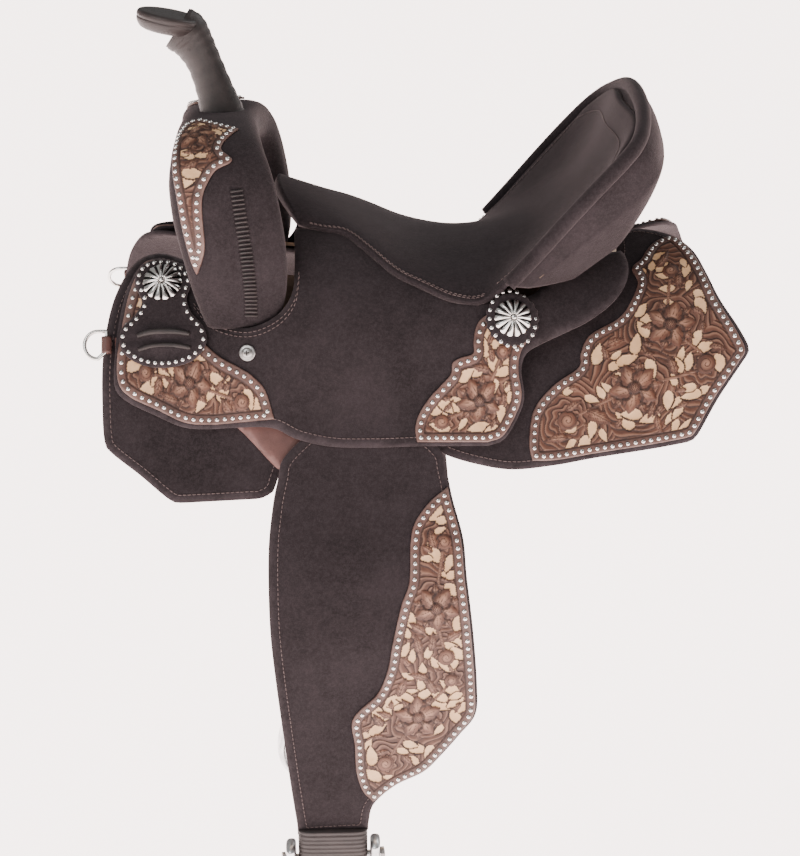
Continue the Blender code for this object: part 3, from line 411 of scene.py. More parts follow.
def turned(profile, count=12, flute=0.0, flutes=0):
    """Small turned shape, closed below, from (radius, height) pairs; flutes scallop it."""
    points, faces = [(0.0, 0.0, profile[0][1])], []
    for radius, height in profile:
        for k in range(count):
            a = 2 * math.pi * k / count
            r = radius * (1 + flute * (0.5 * math.cos(a * flutes) - 0.5)) if flutes else radius
            points.append((r * math.cos(a), r * math.sin(a), height))
    for k in range(count):
        faces.append((0, 1 + (k + 1) % count, 1 + k))
    for ring in range(len(profile) - 1):
        for k in range(count):
            a, b = 1 + ring * count + k, 1 + ring * count + (k + 1) % count
            faces.append((a, b, b + count, a + count))
    faces.append(tuple(1 + (len(profile) - 1) * count + k for k in range(count)))
    return points, faces


def thread_shape(length, radius, height):
    """One stitch: a short strand with both ends diving into the leather."""
    points, faces, sides = [], [], 6
    for x, r, z in ((-0.5, 0.35, -0.2), (-0.3, 0.9, 0.55), (0.0, 1.0, 0.8), (0.3, 0.9, 0.55),
                    (0.5, 0.35, -0.2)):
        for k in range(sides):
            a = 2 * math.pi * k / sides
            points.append((x * length, r * radius * math.cos(a), z * height + r * radius * math.sin(a)))
    for ring in range(4):
        for k in range(sides):
            a, b = ring * sides + k, ring * sides + (k + 1) % sides
            faces.append((a, b, b + sides, a + sides))
    faces.append(tuple(reversed(range(sides))))
    faces.append(tuple(4 * sides + k for k in range(sides)))
    return points, faces


def tube_rings(path, radius, count=16, closed=False, squash=1.0):
    """Rings of a tube along a path in the row frame, turned as little as possible."""
    path = np.asarray(path, float)
    radius = np.broadcast_to(np.asarray(radius, float), (len(path),))
    run = np.roll(path, -1, axis=0) - np.roll(path, 1, axis=0) if closed else np.gradient(path, axis=0)
    run /= np.linalg.norm(run, axis=1)[:, None]
    up = np.array((0.0, 0.0, 1.0)) if abs(run[0][2]) < 0.9 else np.array((0.0, 1.0, 0.0))
    rings = []
    for p, t, r in zip(path, run, radius):
        up = up - t * (up @ t)
        up /= np.linalg.norm(up)
        across = np.cross(t, up)
        a = 2 * np.pi * np.arange(count) / count
        rings.append(p + r * (np.cos(a)[:, None] * up + squash * np.sin(a)[:, None] * across))
    return rings


def loft(rings, closed=False):
    """Points and faces through rings of equal length, capped unless the row closes on itself."""
    points = np.vstack(rings)
    count, faces = len(rings[0]), []
    spans = len(rings) if closed else len(rings) - 1
    for ring in range(spans):
        for k in range(count):
            a, b = ring * count + k, ring * count + (k + 1) % count
            c, d = (b + count) % len(points), (a + count) % len(points)
            faces.append((a, b, c, d))
    if not closed:
        faces.append(tuple(reversed(range(count))))
        faces.append(tuple(len(points) - count + k for k in range(count)))
    return points, faces


def spline_rows(rows, steps):
    """Rows of numbers with smooth rows added between them."""
    rows = np.asarray(rows, float)
    out = []
    for k in range(len(rows) - 1):
        p0, p1, p2, p3 = rows[max(k - 1, 0)], rows[k], rows[k + 1], rows[min(k + 2, len(rows) - 1)]
        for step in range(steps):
            t = step / steps
            out.append(0.5 * (2 * p1 + (p2 - p0) * t + (2 * p0 - 5 * p1 + 4 * p2 - p3) * t**2
                              + (3 * p1 - p0 - 3 * p2 + p3) * t**3))
    out.append(rows[-1])
    return np.array(out)


print("helpers ready")

# %% [markdown]
# ## Effects shared by the materials
# Suede, smooth leather and carved leather share some effects: fine grain, soft cloudy shade, and edges
# that handling has rubbed. Each effect is one node group with named inputs, built once and placed in
# every material that needs it, so it is tuned in one place.

# %% Node groups
def new_group(name, inputs, outputs):
    tree = bpy.data.node_groups.new(name, "ShaderNodeTree")
    for label, kind, value in inputs:
        socket = tree.interface.new_socket(name=label, in_out="INPUT", socket_type=kind)
        socket.default_value = value
    for label, kind in outputs:
        tree.interface.new_socket(name=label, in_out="OUTPUT", socket_type=kind)
    return tree, tree.nodes.new("NodeGroupInput"), tree.nodes.new("NodeGroupOutput")


def math_node(tree, operation, first, second, clamp=False):
    node = tree.nodes.new("ShaderNodeMath")
    node.operation = operation
    node.use_clamp = clamp
    for socket, value in zip(node.inputs, (first, second)):
        if isinstance(value, (int, float)):
            socket.default_value = value
        else:
            tree.links.new(value, socket)
    return node.outputs[0]


def mix_colors(tree, amount, first, second):
    node = tree.nodes.new("ShaderNodeMix")
    node.data_type = "RGBA"
    for socket, value in ((node.inputs[0], amount), (node.inputs[6], first), (node.inputs[7], second)):
        if isinstance(value, (int, float)):
            socket.default_value = value
        elif isinstance(value, tuple):
            socket.default_value = (*value, 1.0)
        else:
            tree.links.new(value, socket)
    return node.outputs[2]


def noise(tree, vector, scale, detail=3.0, rough=0.55):
    node = tree.nodes.new("ShaderNodeTexNoise")
    node.inputs["Detail"].default_value = detail
    node.inputs["Roughness"].default_value = rough
    if isinstance(scale, (int, float)):
        node.inputs["Scale"].default_value = scale
    else:
        tree.links.new(scale, node.inputs["Scale"])
    tree.links.new(vector, node.inputs["Vector"])
    return node.outputs["Fac"]


def stretch(tree, value, low, high):
    node = tree.nodes.new("ShaderNodeMapRange")
    node.inputs["From Min"].default_value = low
    node.inputs["From Max"].default_value = high
    tree.links.new(value, node.inputs["Value"])
    return node.outputs["Result"]


def make_nap_group():
    """Brushed pile: broad clouds where the nap lies one way or the other, and a fine fibre height."""
    tree, start, end = new_group("nap", [("Vector", "NodeSocketVector", (0, 0, 0)),
                                         ("Cloud Scale", "NodeSocketFloat", 14.0),
                                         ("Fibre Scale", "NodeSocketFloat", 900.0)],
                                 [("Clouds", "NodeSocketFloat"), ("Fibre", "NodeSocketFloat")])
    vector = start.outputs["Vector"]
    broad = noise(tree, vector, start.outputs["Cloud Scale"], 5.0, 0.6)
    middle = noise(tree, vector, 75.0, 4.0, 0.65)
    clouds = math_node(tree, "ADD", math_node(tree, "MULTIPLY", broad, 0.65),
                       math_node(tree, "MULTIPLY", middle, 0.35))
    fibre = noise(tree, vector, start.outputs["Fibre Scale"], 3.0, 0.7)
    coarse = noise(tree, vector, 320.0, 2.0, 0.6)
    height = math_node(tree, "ADD", math_node(tree, "MULTIPLY", fibre, 0.6),
                       math_node(tree, "MULTIPLY", coarse, 0.4))
    tree.links.new(stretch(tree, clouds, 0.36, 0.64), end.inputs["Clouds"])
    tree.links.new(height, end.inputs["Fibre"])
    return tree


def make_grain_group():
    """Hide grain: small cells with creases between them, and pores."""
    tree, start, end = new_group("hide grain", [("Vector", "NodeSocketVector", (0, 0, 0)),
                                                ("Cell Scale", "NodeSocketFloat", 700.0)],
                                 [("Height", "NodeSocketFloat"), ("Creases", "NodeSocketFloat")])
    cells = tree.nodes.new("ShaderNodeTexVoronoi")
    cells.feature = "DISTANCE_TO_EDGE"
    tree.links.new(start.outputs["Cell Scale"], cells.inputs["Scale"])
    tree.links.new(start.outputs["Vector"], cells.inputs["Vector"])
    creases = stretch(tree, cells.outputs["Distance"], 0.0, 0.12)
    pores = noise(tree, start.outputs["Vector"], 1500.0, 2.0)
    height = math_node(tree, "ADD", math_node(tree, "MULTIPLY", creases, 0.6),
                       math_node(tree, "MULTIPLY", pores, 0.4))
    tree.links.new(height, end.inputs["Height"])
    tree.links.new(creases, end.inputs["Creases"])
    return tree


def make_wear_group():
    """Rubbed edges: the edge mark broken up by patchy handling."""
    tree, start, end = new_group("rubbed edge", [("Vector", "NodeSocketVector", (0, 0, 0)),
                                                 ("Edge", "NodeSocketFloat", 0.0),
                                                 ("Amount", "NodeSocketFloat", 0.6)],
                                 [("Mask", "NodeSocketFloat")])
    patches = stretch(tree, noise(tree, start.outputs["Vector"], 60.0, 4.0, 0.7), 0.35, 0.65)
    shown = math_node(tree, "MULTIPLY", start.outputs["Edge"], patches)
    tree.links.new(math_node(tree, "MULTIPLY", shown, start.outputs["Amount"], True), end.inputs["Mask"])
    return tree


NAP, GRAIN, WEAR = make_nap_group(), make_grain_group(), make_wear_group()
print("groups", NAP.name, GRAIN.name, WEAR.name)

# %% [markdown]
# ## Materials
# Suede is rough, dark and has a sheen at grazing angles, because its fibres catch the light. Carved
# leather takes four marks from its mesh: where the pale ground shows, where dark antiquing paste stays
# in the cuts, where the plain border runs, and a painted highlight that lightens the tops of the raised
# figures. Silver, steel and cast aluminium are metals with their own roughness.

# %% Material helpers
def start_material(name, rough, metal=0.0, **sockets):
    made = bpy.data.materials.new(name)
    made.use_nodes = True
    shader = made.node_tree.nodes["Principled BSDF"]
    shader.inputs["Roughness"].default_value = rough
    shader.inputs["Metallic"].default_value = metal
    for label, value in sockets.items():
        shader.inputs[label.replace("_", " ")].default_value = value
    return made, made.node_tree, shader


def place_in(tree):
    return tree.nodes.new("ShaderNodeTexCoord").outputs["Object"]


def use_group(tree, group, vector, **values):
    node = tree.nodes.new("ShaderNodeGroup")
    node.node_tree = group
    tree.links.new(vector, node.inputs["Vector"])
    for label, value in values.items():
        socket = node.inputs[label.replace("_", " ")]
        if isinstance(value, (int, float)):
            socket.default_value = value
        else:
            tree.links.new(value, socket)
    return node.outputs


def mark(tree, name):
    node = tree.nodes.new("ShaderNodeAttribute")
    node.attribute_name = name
    return node.outputs["Fac"]


def bump(tree, shader, height, strength, distance):
    node = tree.nodes.new("ShaderNodeBump")
    node.inputs["Strength"].default_value = strength
    node.inputs["Distance"].default_value = distance
    tree.links.new(height, node.inputs["Height"])
    tree.links.new(node.outputs["Normal"], shader.inputs["Normal"])


# %% Suede, leather and thread
def suede_material(name, deep, light, rubbed):
    made, tree, shader = start_material(name, 0.95, Sheen_Weight=0.22, Sheen_Roughness=0.45,
                                        Specular_IOR_Level=0.15)
    shader.inputs["Sheen Tint"].default_value = (0.62, 0.50, 0.50, 1.0)
    vector = place_in(tree)
    nap = use_group(tree, NAP, vector)
    worn = use_group(tree, WEAR, vector, Edge=mark(tree, "edge"), Amount=0.55)
    color = mix_colors(tree, nap["Clouds"], deep, light)
    color = mix_colors(tree, math_node(tree, "MULTIPLY", stretch(tree, nap["Fibre"], 0.42, 0.62), 0.30),
                       color, rubbed)
    color = mix_colors(tree, worn["Mask"], color, rubbed)
    tree.links.new(color, shader.inputs["Base Color"])
    bump(tree, shader, nap["Fibre"], 0.55, 0.0011)
    return made


def smooth_material(name, deep, light, rough=0.46):
    made, tree, shader = start_material(name, rough, Specular_IOR_Level=0.45)
    vector = place_in(tree)
    grain = use_group(tree, GRAIN, vector, Cell_Scale=620.0)
    nap = use_group(tree, NAP, vector, Cloud_Scale=22.0)
    worn = use_group(tree, WEAR, vector, Edge=mark(tree, "edge"), Amount=0.8)
    color = mix_colors(tree, nap["Clouds"], deep, light)
    color = mix_colors(tree, worn["Mask"], color, tuple(min(1.0, 2.4 * c) for c in light))
    tree.links.new(color, shader.inputs["Base Color"])
    tree.links.new(stretch_to(tree, grain["Creases"], rough + 0.14, rough - 0.04),
                   shader.inputs["Roughness"])
    bump(tree, shader, grain["Height"], 0.30, 0.0006)
    return made


def stretch_to(tree, value, low, high):
    node = tree.nodes.new("ShaderNodeMapRange")
    node.inputs["To Min"].default_value = low
    node.inputs["To Max"].default_value = high
    tree.links.new(value, node.inputs["Value"])
    return node.outputs["Result"]


def carved_material():
    made, tree, shader = start_material("carved leather", 0.52, Specular_IOR_Level=0.40)
    vector = place_in(tree)
    grain = use_group(tree, GRAIN, vector, Cell_Scale=900.0)
    nap = use_group(tree, NAP, vector, Cloud_Scale=45.0)
    worn = use_group(tree, WEAR, vector, Edge=mark(tree, "edge"), Amount=0.5)
    figure = mix_colors(tree, nap["Clouds"], (0.052, 0.018, 0.010), (0.150, 0.062, 0.037))
    # painted highlight: a light colour mixed onto the tops of the raised figures
    figure = mix_colors(tree, mark(tree, "crest_highlight"), figure, (0.370, 0.200, 0.130))
    ground = mix_colors(tree, nap["Clouds"], (0.640, 0.370, 0.180), (0.820, 0.540, 0.310))
    color = mix_colors(tree, mark(tree, "ground"), figure, ground)
    border = mix_colors(tree, nap["Clouds"], (0.060, 0.030, 0.024), (0.125, 0.062, 0.048))
    color = mix_colors(tree, mark(tree, "border"), color, border)
    color = mix_colors(tree, mark(tree, "antique"), color, (0.014, 0.006, 0.005))
    color = mix_colors(tree, worn["Mask"], color, (0.300, 0.200, 0.170))
    tree.links.new(color, shader.inputs["Base Color"])
    tree.links.new(stretch_to(tree, mark(tree, "antique"), 0.42, 0.70), shader.inputs["Roughness"])
    bump(tree, shader, grain["Height"], 0.25, 0.0005)
    return made


SUEDE = suede_material("suede", (0.0115, 0.0088, 0.0098), (0.0245, 0.0190, 0.0212), (0.060, 0.048, 0.052))
BROWN_HIDE = smooth_material("oiled brown leather", (0.060, 0.026, 0.022), (0.115, 0.052, 0.044))
DARK_HIDE = smooth_material("dark horn leather", (0.0105, 0.0075, 0.0072), (0.029, 0.0200, 0.0190), 0.46)
CARVED = carved_material()
THREAD = smooth_material("waxed thread", (0.085, 0.058, 0.056), (0.150, 0.108, 0.102), 0.6)


# %% Metals, wool and wood
def metal_material(name, color, tarnish, rough):
    made, tree, shader = start_material(name, rough, 1.0)
    vector = place_in(tree)
    grain = use_group(tree, GRAIN, vector, Cell_Scale=260.0)
    nap = use_group(tree, NAP, vector, Cloud_Scale=90.0)
    plain = mix_colors(tree, nap["Clouds"], tarnish, color)
    tree.links.new(mix_colors(tree, mark(tree, "antique"), plain, (0.012, 0.010, 0.010)),
                   shader.inputs["Base Color"])
    tree.links.new(stretch_to(tree, nap["Clouds"], rough + 0.12, rough - 0.04), shader.inputs["Roughness"])
    bump(tree, shader, grain["Height"], 0.06, 0.0003)
    return made


def wool_material():
    made, tree, shader = start_material("wool fleece", 1.0, Sheen_Weight=0.6, Sheen_Roughness=0.6)
    vector = place_in(tree)
    nap = use_group(tree, NAP, vector, Cloud_Scale=60.0, Fibre_Scale=500.0)
    tree.links.new(mix_colors(tree, nap["Clouds"], (0.52, 0.43, 0.31), (0.83, 0.76, 0.63)),
                   shader.inputs["Base Color"])
    bump(tree, shader, nap["Fibre"], 0.9, 0.004)
    return made


def wood_material():
    made, tree, shader = start_material("tree wood", 0.7)
    vector = place_in(tree)
    nap = use_group(tree, NAP, vector, Cloud_Scale=30.0, Fibre_Scale=260.0)
    tree.links.new(mix_colors(tree, nap["Clouds"], (0.085, 0.055, 0.036), (0.170, 0.112, 0.072)),
                   shader.inputs["Base Color"])
    bump(tree, shader, nap["Fibre"], 0.3, 0.001)
    return made


SILVER = metal_material("polished silver", (0.90, 0.89, 0.87), (0.55, 0.53, 0.50), 0.16)
STEEL = metal_material("plain steel", (0.55, 0.54, 0.53), (0.30, 0.29, 0.28), 0.34)
ALUMINIUM = metal_material("cast aluminium", (0.80, 0.80, 0.81), (0.58, 0.58, 0.59), 0.30)
WOOL, WOOD = wool_material(), wood_material()
print("materials", len(bpy.data.materials))

# %% [markdown]
# ## Skirts and fleece
# The skirt is the broad panel that carries everything else, with a stitched edge and wool fleece glued
# and sewn below it. The fleece could be a particle system, but strands don't export; a lumpy, close
# mesh with a woolly bump reads the same at this size.

# %% Skirts and fleece
SKIRT_DROP, REAR_DROP, REAR_X, FRONT_X = 0.279, 0.256, 0.277, -0.346
SKIRT_PATTERN = [
    (-0.258, 0.052, 1), (-0.281, 0.048), (-0.303, 0.060), (-0.321, 0.085), (-0.334, 0.112), (-0.343, 0.147),
    (FRONT_X, 0.185), (FRONT_X, 0.214), (-0.341, 0.226), (-0.314, SKIRT_DROP - 0.029),
    (-0.286, SKIRT_DROP - 0.003), (-0.272, SKIRT_DROP, 1), (-0.200, SKIRT_DROP, 1),
    (-0.188, SKIRT_DROP - 0.006), (-0.184, SKIRT_DROP - 0.015, 1), (-0.172, 0.236, 1), (-0.030, 0.236, 1),
    (-0.020, REAR_DROP - 0.010), (0.010, REAR_DROP + 0.001), (0.044, REAR_DROP + 0.008),
    (0.085, REAR_DROP + 0.006), (0.129, REAR_DROP + 0.002), (0.212, REAR_DROP, 1),
    (0.222, REAR_DROP - 0.005), (0.244, 0.220), (REAR_X - 0.008, 0.190), (REAR_X, 0.178),
    (REAR_X - 0.006, 0.158), (0.257, 0.123), (0.250, 0.090), (0.244, 0.060), (0.232, 0.035), (0.217, 0.018),
    (0.200, 0.006, 1), (0.176, 0.006, 1), (0.170, 0.048), (0.150, 0.058), (0.110, 0.060), (-0.050, 0.060),
    (-0.200, 0.060)]
SKIRT_LINE = smooth_line(SKIRT_PATTERN)
STITCH = thread_shape(0.0036, 0.00042, 0.00055)
SKIRT_T, FLEECE_T = 0.005, 0.0145


def stitches(name, place, line, n, side, body, pitch=0.0046, closed=True):
    line = even_steps(line, pitch, closed)
    scatter(name, STITCH, frames_on(place, line, n, side, closed), THREAD, body, slot="smooth_leather")


def add_skirts():
    filled = fill_pattern(SKIRT_LINE, 0.006)
    wool_line = inset_line(SKIRT_LINE, 0.003, 0.004)
    # the wool stops short of the gullet and of the upper rear edge
    high = np.interp(wool_line[:, 0], (-0.30, -0.17, -0.12, 0.12, 0.19, 0.25),
                     (0.165, 0.150, 0.060, 0.060, 0.085, 0.12))
    wool_line[:, 1] = np.maximum(wool_line[:, 1], high)
    wool_fill = fill_pattern(wool_line, 0.0045)
    rng = np.random.default_rng(7)
    lumps = rng.normal(0.0, 0.0011, len(wool_fill[0]))
    for word, side in SIDES:
        cut_piece(f"suede_skirt_{word}", filled, SKIRT_LINE, -SKIRT_T, 0.0, on_side, side, SUEDE, "tree",
                  replaces=(f"skirt_{word}",), slot="suede")
        stitches(f"skirt_stitch_{word}", on_side, inset_line(SKIRT_LINE, 0.0075, 0.004), 0.0, side, "tree")
        # the wool's face looks inward, so its relief is put on the low side by swapping the heights
        flat, faces, loop = wool_fill
        count = len(flat)
        under = -SKIRT_T - FLEECE_T - np.abs(lumps)
        points = np.vstack([on_side(flat[:, 0], flat[:, 1], -SKIRT_T - 0.0003, side),
                            on_side(flat[:, 0], flat[:, 1], under, side)])
        solid = list(faces) + [tuple(k + count for k in reversed(f)) for f in faces]
        solid += [(a, b, b + count, a + count) for a, b in zip(loop, loop[1:] + loop[:1])]
        mesh_piece(f"wool_lining_{word}", points, solid, WOOL, "tree", replaces=(f"fleece_{word}",),
                   slot="fleece")


add_skirts()
print("skirts and fleece")

# %% [markdown]
# ## Jockeys
# The seat jockey and the front jockey are one piece of suede on each side. It runs from the swell's
# cut-out to the concho behind the leg, and a row of stitches follows its lower edge.

# %% Jockeys
JOCKEY_DROP, JOCKEY_FRONT, JOCKEY_REAR = 0.240, -0.333, 0.056
JOCKEY_PATTERN = [
    (-0.256, 0.072, 1), (-0.283, 0.064), (-0.300, 0.071), (-0.316, 0.095), (-0.327, 0.126), (-0.332, 0.150),
    (JOCKEY_FRONT, 0.170), (-0.322, 0.182), (-0.296, 0.195), (-0.270, 0.207), (-0.246, 0.210),
    (-0.222, 0.210), (-0.186, 0.212), (-0.163, JOCKEY_DROP - 0.016), (-0.130, JOCKEY_DROP - 0.007),
    (-0.090, JOCKEY_DROP - 0.004), (-0.049, JOCKEY_DROP - 0.003), (0.019, JOCKEY_DROP, 1),
    (0.034, JOCKEY_DROP - 0.005), (0.048, 0.216), (JOCKEY_REAR, 0.196), (JOCKEY_REAR - 0.002, 0.172),
    (JOCKEY_REAR + 0.004, 0.158), (0.076, 0.1495), (0.100, 0.1400), (0.126, 0.1300), (0.150, 0.1160),
    (0.166, 0.0985), (0.1720, 0.080), (0.1700, 0.062, 1), (0.110, 0.064, 1), (0.095, 0.085), (0.075, 0.105),
    (0.060, 0.1120, 1), (0.047, 0.113), (0.028, 0.1130), (0.002, 0.1135), (-0.017, 0.1085), (-0.045, 0.097),
    (-0.063, 0.085), (-0.088, 0.060), (-0.101, 0.049), (-0.130, 0.047), (-0.150, 0.046, 1), (-0.156, 0.092),
    (-0.163, 0.112), (-0.180, 0.1255), (-0.206, 0.1310), (-0.230, 0.1240), (-0.247, 0.109),
    (-0.254, 0.092, 1)]
JOCKEY_LINE = smooth_line(JOCKEY_PATTERN)
SWELL_SEAM = [(-0.252, 0.108), (-0.236, 0.1255), (-0.206, 0.1345), (-0.178, 0.1290), (-0.159, 0.114),
              (-0.152, 0.092)]


def lower_edge(line):
    """The part of the jockey's stitch line that shows, from the front round to the rear concho."""
    keep = line[(line[:, 1] > 0.155) | (line[:, 0] < -0.262)]
    start = int(np.argmax(np.linalg.norm(np.roll(keep, 1, axis=0) - keep, axis=1)))
    return np.roll(keep, -start, axis=0)


def add_jockeys():
    filled = fill_pattern(JOCKEY_LINE, 0.006)
    inner = lower_edge(inset_line(JOCKEY_LINE, 0.0085, 0.004))
    seam = smooth_line(SWELL_SEAM, closed=False)
    for word, side in SIDES:
        cut_piece(f"suede_jockey_{word}", filled, JOCKEY_LINE, 0.0006, 0.0040, on_jockey, side, SUEDE,
                  "tree",
                  replaces=(f"jockey_{word}",), slot="suede")
        stitches(f"jockey_stitch_{word}", on_jockey, inner, 0.0040, side, "tree", closed=False)
        stitches(f"swell_seam_{word}", on_jockey, seam, 0.0040, side, "tree", closed=False)
        stitches(f"swell_seam_outer_{word}", on_jockey, seam + (0.0, 0.0032), 0.0040, side, "tree",
                 closed=False)


add_jockeys()
print("jockeys")

# %% [markdown]
# ## Carving
# Floral carving is cut into damp leather with a swivel knife, then the ground around each flower is
# stamped down and painted pale, and dark paste is rubbed into the cuts. The same order works here. Every
# corner of the overlay's mesh has a height and three marks, and each motif, laid over the ones before,
# raises its petals or leaves, cuts its veins and darkens the rim around it. Flowers are placed one by one;
# leaves fill what is left, following a swirl around the nearest flower.

# %% Carving motifs
VINE_PITCH, VINE_TURNS, VINE_LOBE, LOBES_ROUND, LOBE_RUN = 0.0056, 2.0, 0.30, 7.0, 0.005
CELL_LENGTHS, CELL_WIDTH, CELL_RIM, CELL_TRIES = (0.011, 0.022), 0.27, 0.30, 6
GROUND_PITCH, GROUND_RISE = 0.0013, 0.00010


class Carving:
    """Heights and marks over the corners of one overlay."""

    def __init__(self, flat, line, border=0.0085):
        self.flat = flat
        self.reach = edge_distance(flat, line)
        count = len(flat)
        self.height = np.zeros(count)
        self.ground = np.zeros(count)
        self.antique = np.zeros(count)
        # painted highlight: lightens the tops of the raised figures, where light would catch them
        self.crest_highlight = np.zeros(count)
        self.taken = self.reach < border + 0.0012
        self.border_width = border

    def lay(self, rise, shape, veins, low=0.0004):
        """Lay one motif: shape is 1 deep inside it and 0 at its rim, below 0 just outside."""
        over = shape > 0
        rim = (shape <= 0) & (shape > -0.0011 / 0.004)
        self.height[over] = low + rise * np.sqrt(np.clip(shape[over], 0, 1))
        self.ground[over] = 0.0
        self.antique[over] = np.clip(veins[over] + np.clip(1 - shape[over] * 7.0, 0, 1) * 0.75, 0, 1)
        # painted highlight on the high middle of each motif, kept off its veins
        self.crest_highlight[over] = np.clip(shape[over] * 1.5 - 0.5, 0, 1) * (1 - veins[over])
        self.antique[rim] = np.maximum(self.antique[rim], 0.78)
        self.taken |= over

    def leaf_shape(self, base, angle, length, width, bend=0.0, lobes=0.0):
        d = self.flat - np.asarray(base)
        a = d[:, 0] * math.cos(angle) + d[:, 1] * math.sin(angle)
        c = -d[:, 0] * math.sin(angle) + d[:, 1] * math.cos(angle)
        t = a / length
        c = c - bend * a * t
        bounded = np.clip(t, 0.0, 1.0)
        half = width * np.sin(np.pi * bounded ** 0.75) ** 0.8 * (1 + lobes * np.cos(bounded * 22.0))
        shape = (half - np.abs(c)) / max(width, 1e-6)
        shape[(t < 0) | (t > 1)] = -1.0
        return shape, a, c, t

    def leaf(self, base, angle, length, width, bend=0.0, rise=0.0011):
        shape, a, c, _ = self.leaf_shape(base, angle, length, width, bend, 0.10)
        middle = np.clip(1 - np.abs(c) / 0.00065, 0, 1)
        side_veins = np.clip(np.sin((a - 1.1 * np.abs(c)) / 0.0030 * 2 * np.pi) * 2 - 1.1, 0, 1) * 0.7
        self.lay(rise, shape, np.maximum(middle, side_veins * (np.abs(c) > 0.0006)))

    def petal(self, base, angle, length, width):
        shape, a, c, t = self.leaf_shape(base, angle, length, width, 0.0, 0.05)
        fan = np.abs(np.sin(np.arctan2(c, a + 0.001) * 11.0))
        veins = np.clip(1 - fan * 3.0, 0, 1) * (t < 0.72) * 0.85
        self.lay(0.0015, shape, veins, 0.0007)

    def flower(self, centre, radius, turn=0.0):
        for k in range(5):
            angle = turn + k * 2 * math.pi / 5
            self.leaf((centre[0] + radius * 0.35 * math.cos(angle + 0.63),
                       centre[1] + radius * 0.35 * math.sin(angle + 0.63)),
                      angle + 0.63, radius * 0.78, radius * 0.17)
        for k in range(5):
            self.petal(centre, turn + k * 2 * math.pi / 5, radius, radius * 0.36)
        d = self.flat - np.asarray(centre)
        r = np.hypot(d[:, 0], d[:, 1])
        core = radius * 0.23
        beads = np.cos(d[:, 0] / 0.0011 * math.pi) * np.cos(d[:, 1] / 0.0011 * math.pi)
        self.lay(0.0012, (core - r) / core, np.clip(0.35 - beads, 0, 1), 0.0018)

    def bud(self, centre, radius, turn=0.0):
        d = self.flat - np.asarray(centre)
        r, a = np.hypot(d[:, 0], d[:, 1]), np.arctan2(d[:, 1], d[:, 0]) + turn
        coil = (a / (2 * math.pi) + r / (radius * 0.46)) % 1.0
        veins = np.clip(1 - np.abs(coil - 0.5) * 7.0, 0, 1)
        self.lay(0.0016, (radius - r) / radius, veins, 0.0006)

    def stem(self, line, width=0.0016):
        """A vine along a line, with a cut down its middle."""
        line = smooth_line(line, closed=False)
        away = edge_distance(self.flat, line, closed=False)
        self.lay(0.0008, (width - away) / width, np.clip(1 - away / 0.0005, 0, 1) * 0.7, 0.0003)

    def fill(self, centres, seed, tries=420):
        """Leaves in what room is left, largest first, swirling round the nearest flower."""
        pick = random.Random(seed)
        centres = np.asarray(centres, float)
        for attempt in range(tries):
            free = np.flatnonzero(~self.taken)
            if len(free) < 12:
                break
            here = self.flat[free[pick.randrange(len(free))]]
            away = here - centres
            near = away[int(np.argmin(np.hypot(away[:, 0], away[:, 1])))]
            spread = 1.0 - attempt / tries
            length = 0.009 + 0.019 * spread * pick.uniform(0.6, 1.0)
            angle = math.atan2(near[1], near[0]) + pick.uniform(0.5, 1.5)
            width, bend = length * pick.uniform(0.19, 0.27), pick.uniform(-0.45, 0.45)
            base = here - 0.5 * length * np.array((math.cos(angle), math.sin(angle)))
            shape = self.leaf_shape(base, angle, length, width, bend, 0.10)[0]
            over = shape > 0
            if over.sum() > 8 and (self.taken & over).sum() <= 0.10 * over.sum():
                self.leaf(base, angle, length, width, bend)

    def scroll(self, centres, seed, cells):
        """Vines that swirl round the flowers in the room that is left, with pointed cells of bare ground."""
        centres = np.asarray(centres, float)
        away = self.flat[:, None, :] - centres[None, :, :]
        far = np.hypot(away[:, :, 0], away[:, :, 1])
        nearest = np.argmin(far, axis=1)
        reach = far[np.arange(len(far)), nearest]
        turn = np.arctan2(away[np.arange(len(far)), nearest, 1], away[np.arange(len(far)), nearest, 0])
        lobes = VINE_LOBE * np.sin(turn * LOBES_ROUND + reach / LOBE_RUN)
        ramp = (reach / VINE_PITCH + turn * VINE_TURNS / (2 * math.pi) + lobes) % 1.0
        free = ~self.taken
        groove = np.clip(1.25 - np.minimum(ramp, 1 - ramp) / 0.15, 0, 1)
        self.height[free] = 0.0001 + 0.0008 * np.sqrt(ramp[free])
        self.antique[free] = np.maximum(groove[free], 0.30 * (1 - ramp[free]))
        # painted highlight along the high side of each scroll ridge
        self.crest_highlight[free] = np.clip(ramp[free] * 1.6 - 0.75, 0, 1) * (1 - groove[free])
        pick = random.Random(seed)
        open_room = free.copy()
        for _ in range(cells * CELL_TRIES):
            spots = np.flatnonzero(open_room)
            if cells == 0 or len(spots) < 12:
                break
            here = self.flat[spots[pick.randrange(len(spots))]]
            near = here - centres[int(np.argmin(np.hypot(*(here - centres).T)))]
            length = pick.uniform(*CELL_LENGTHS)
            angle = math.atan2(near[1], near[0]) + pick.uniform(1.0, 1.9)
            base = here - 0.5 * length * np.array((math.cos(angle), math.sin(angle)))
            bend = pick.uniform(-0.5, 0.5)
            shape = self.leaf_shape(base, angle, length, length * CELL_WIDTH, bend)[0]
            over = (shape > 0) & open_room
            if over.sum() < 10:
                continue
            rim = (shape <= 0) & (shape > -CELL_RIM) & open_room
            self.height[over] = 0.0
            self.ground[over], self.crest_highlight[over], self.antique[over] = 1.0, 0.0, 0.0
            self.antique[rim] = 0.92
            open_room &= shape <= -CELL_RIM
            cells -= 1

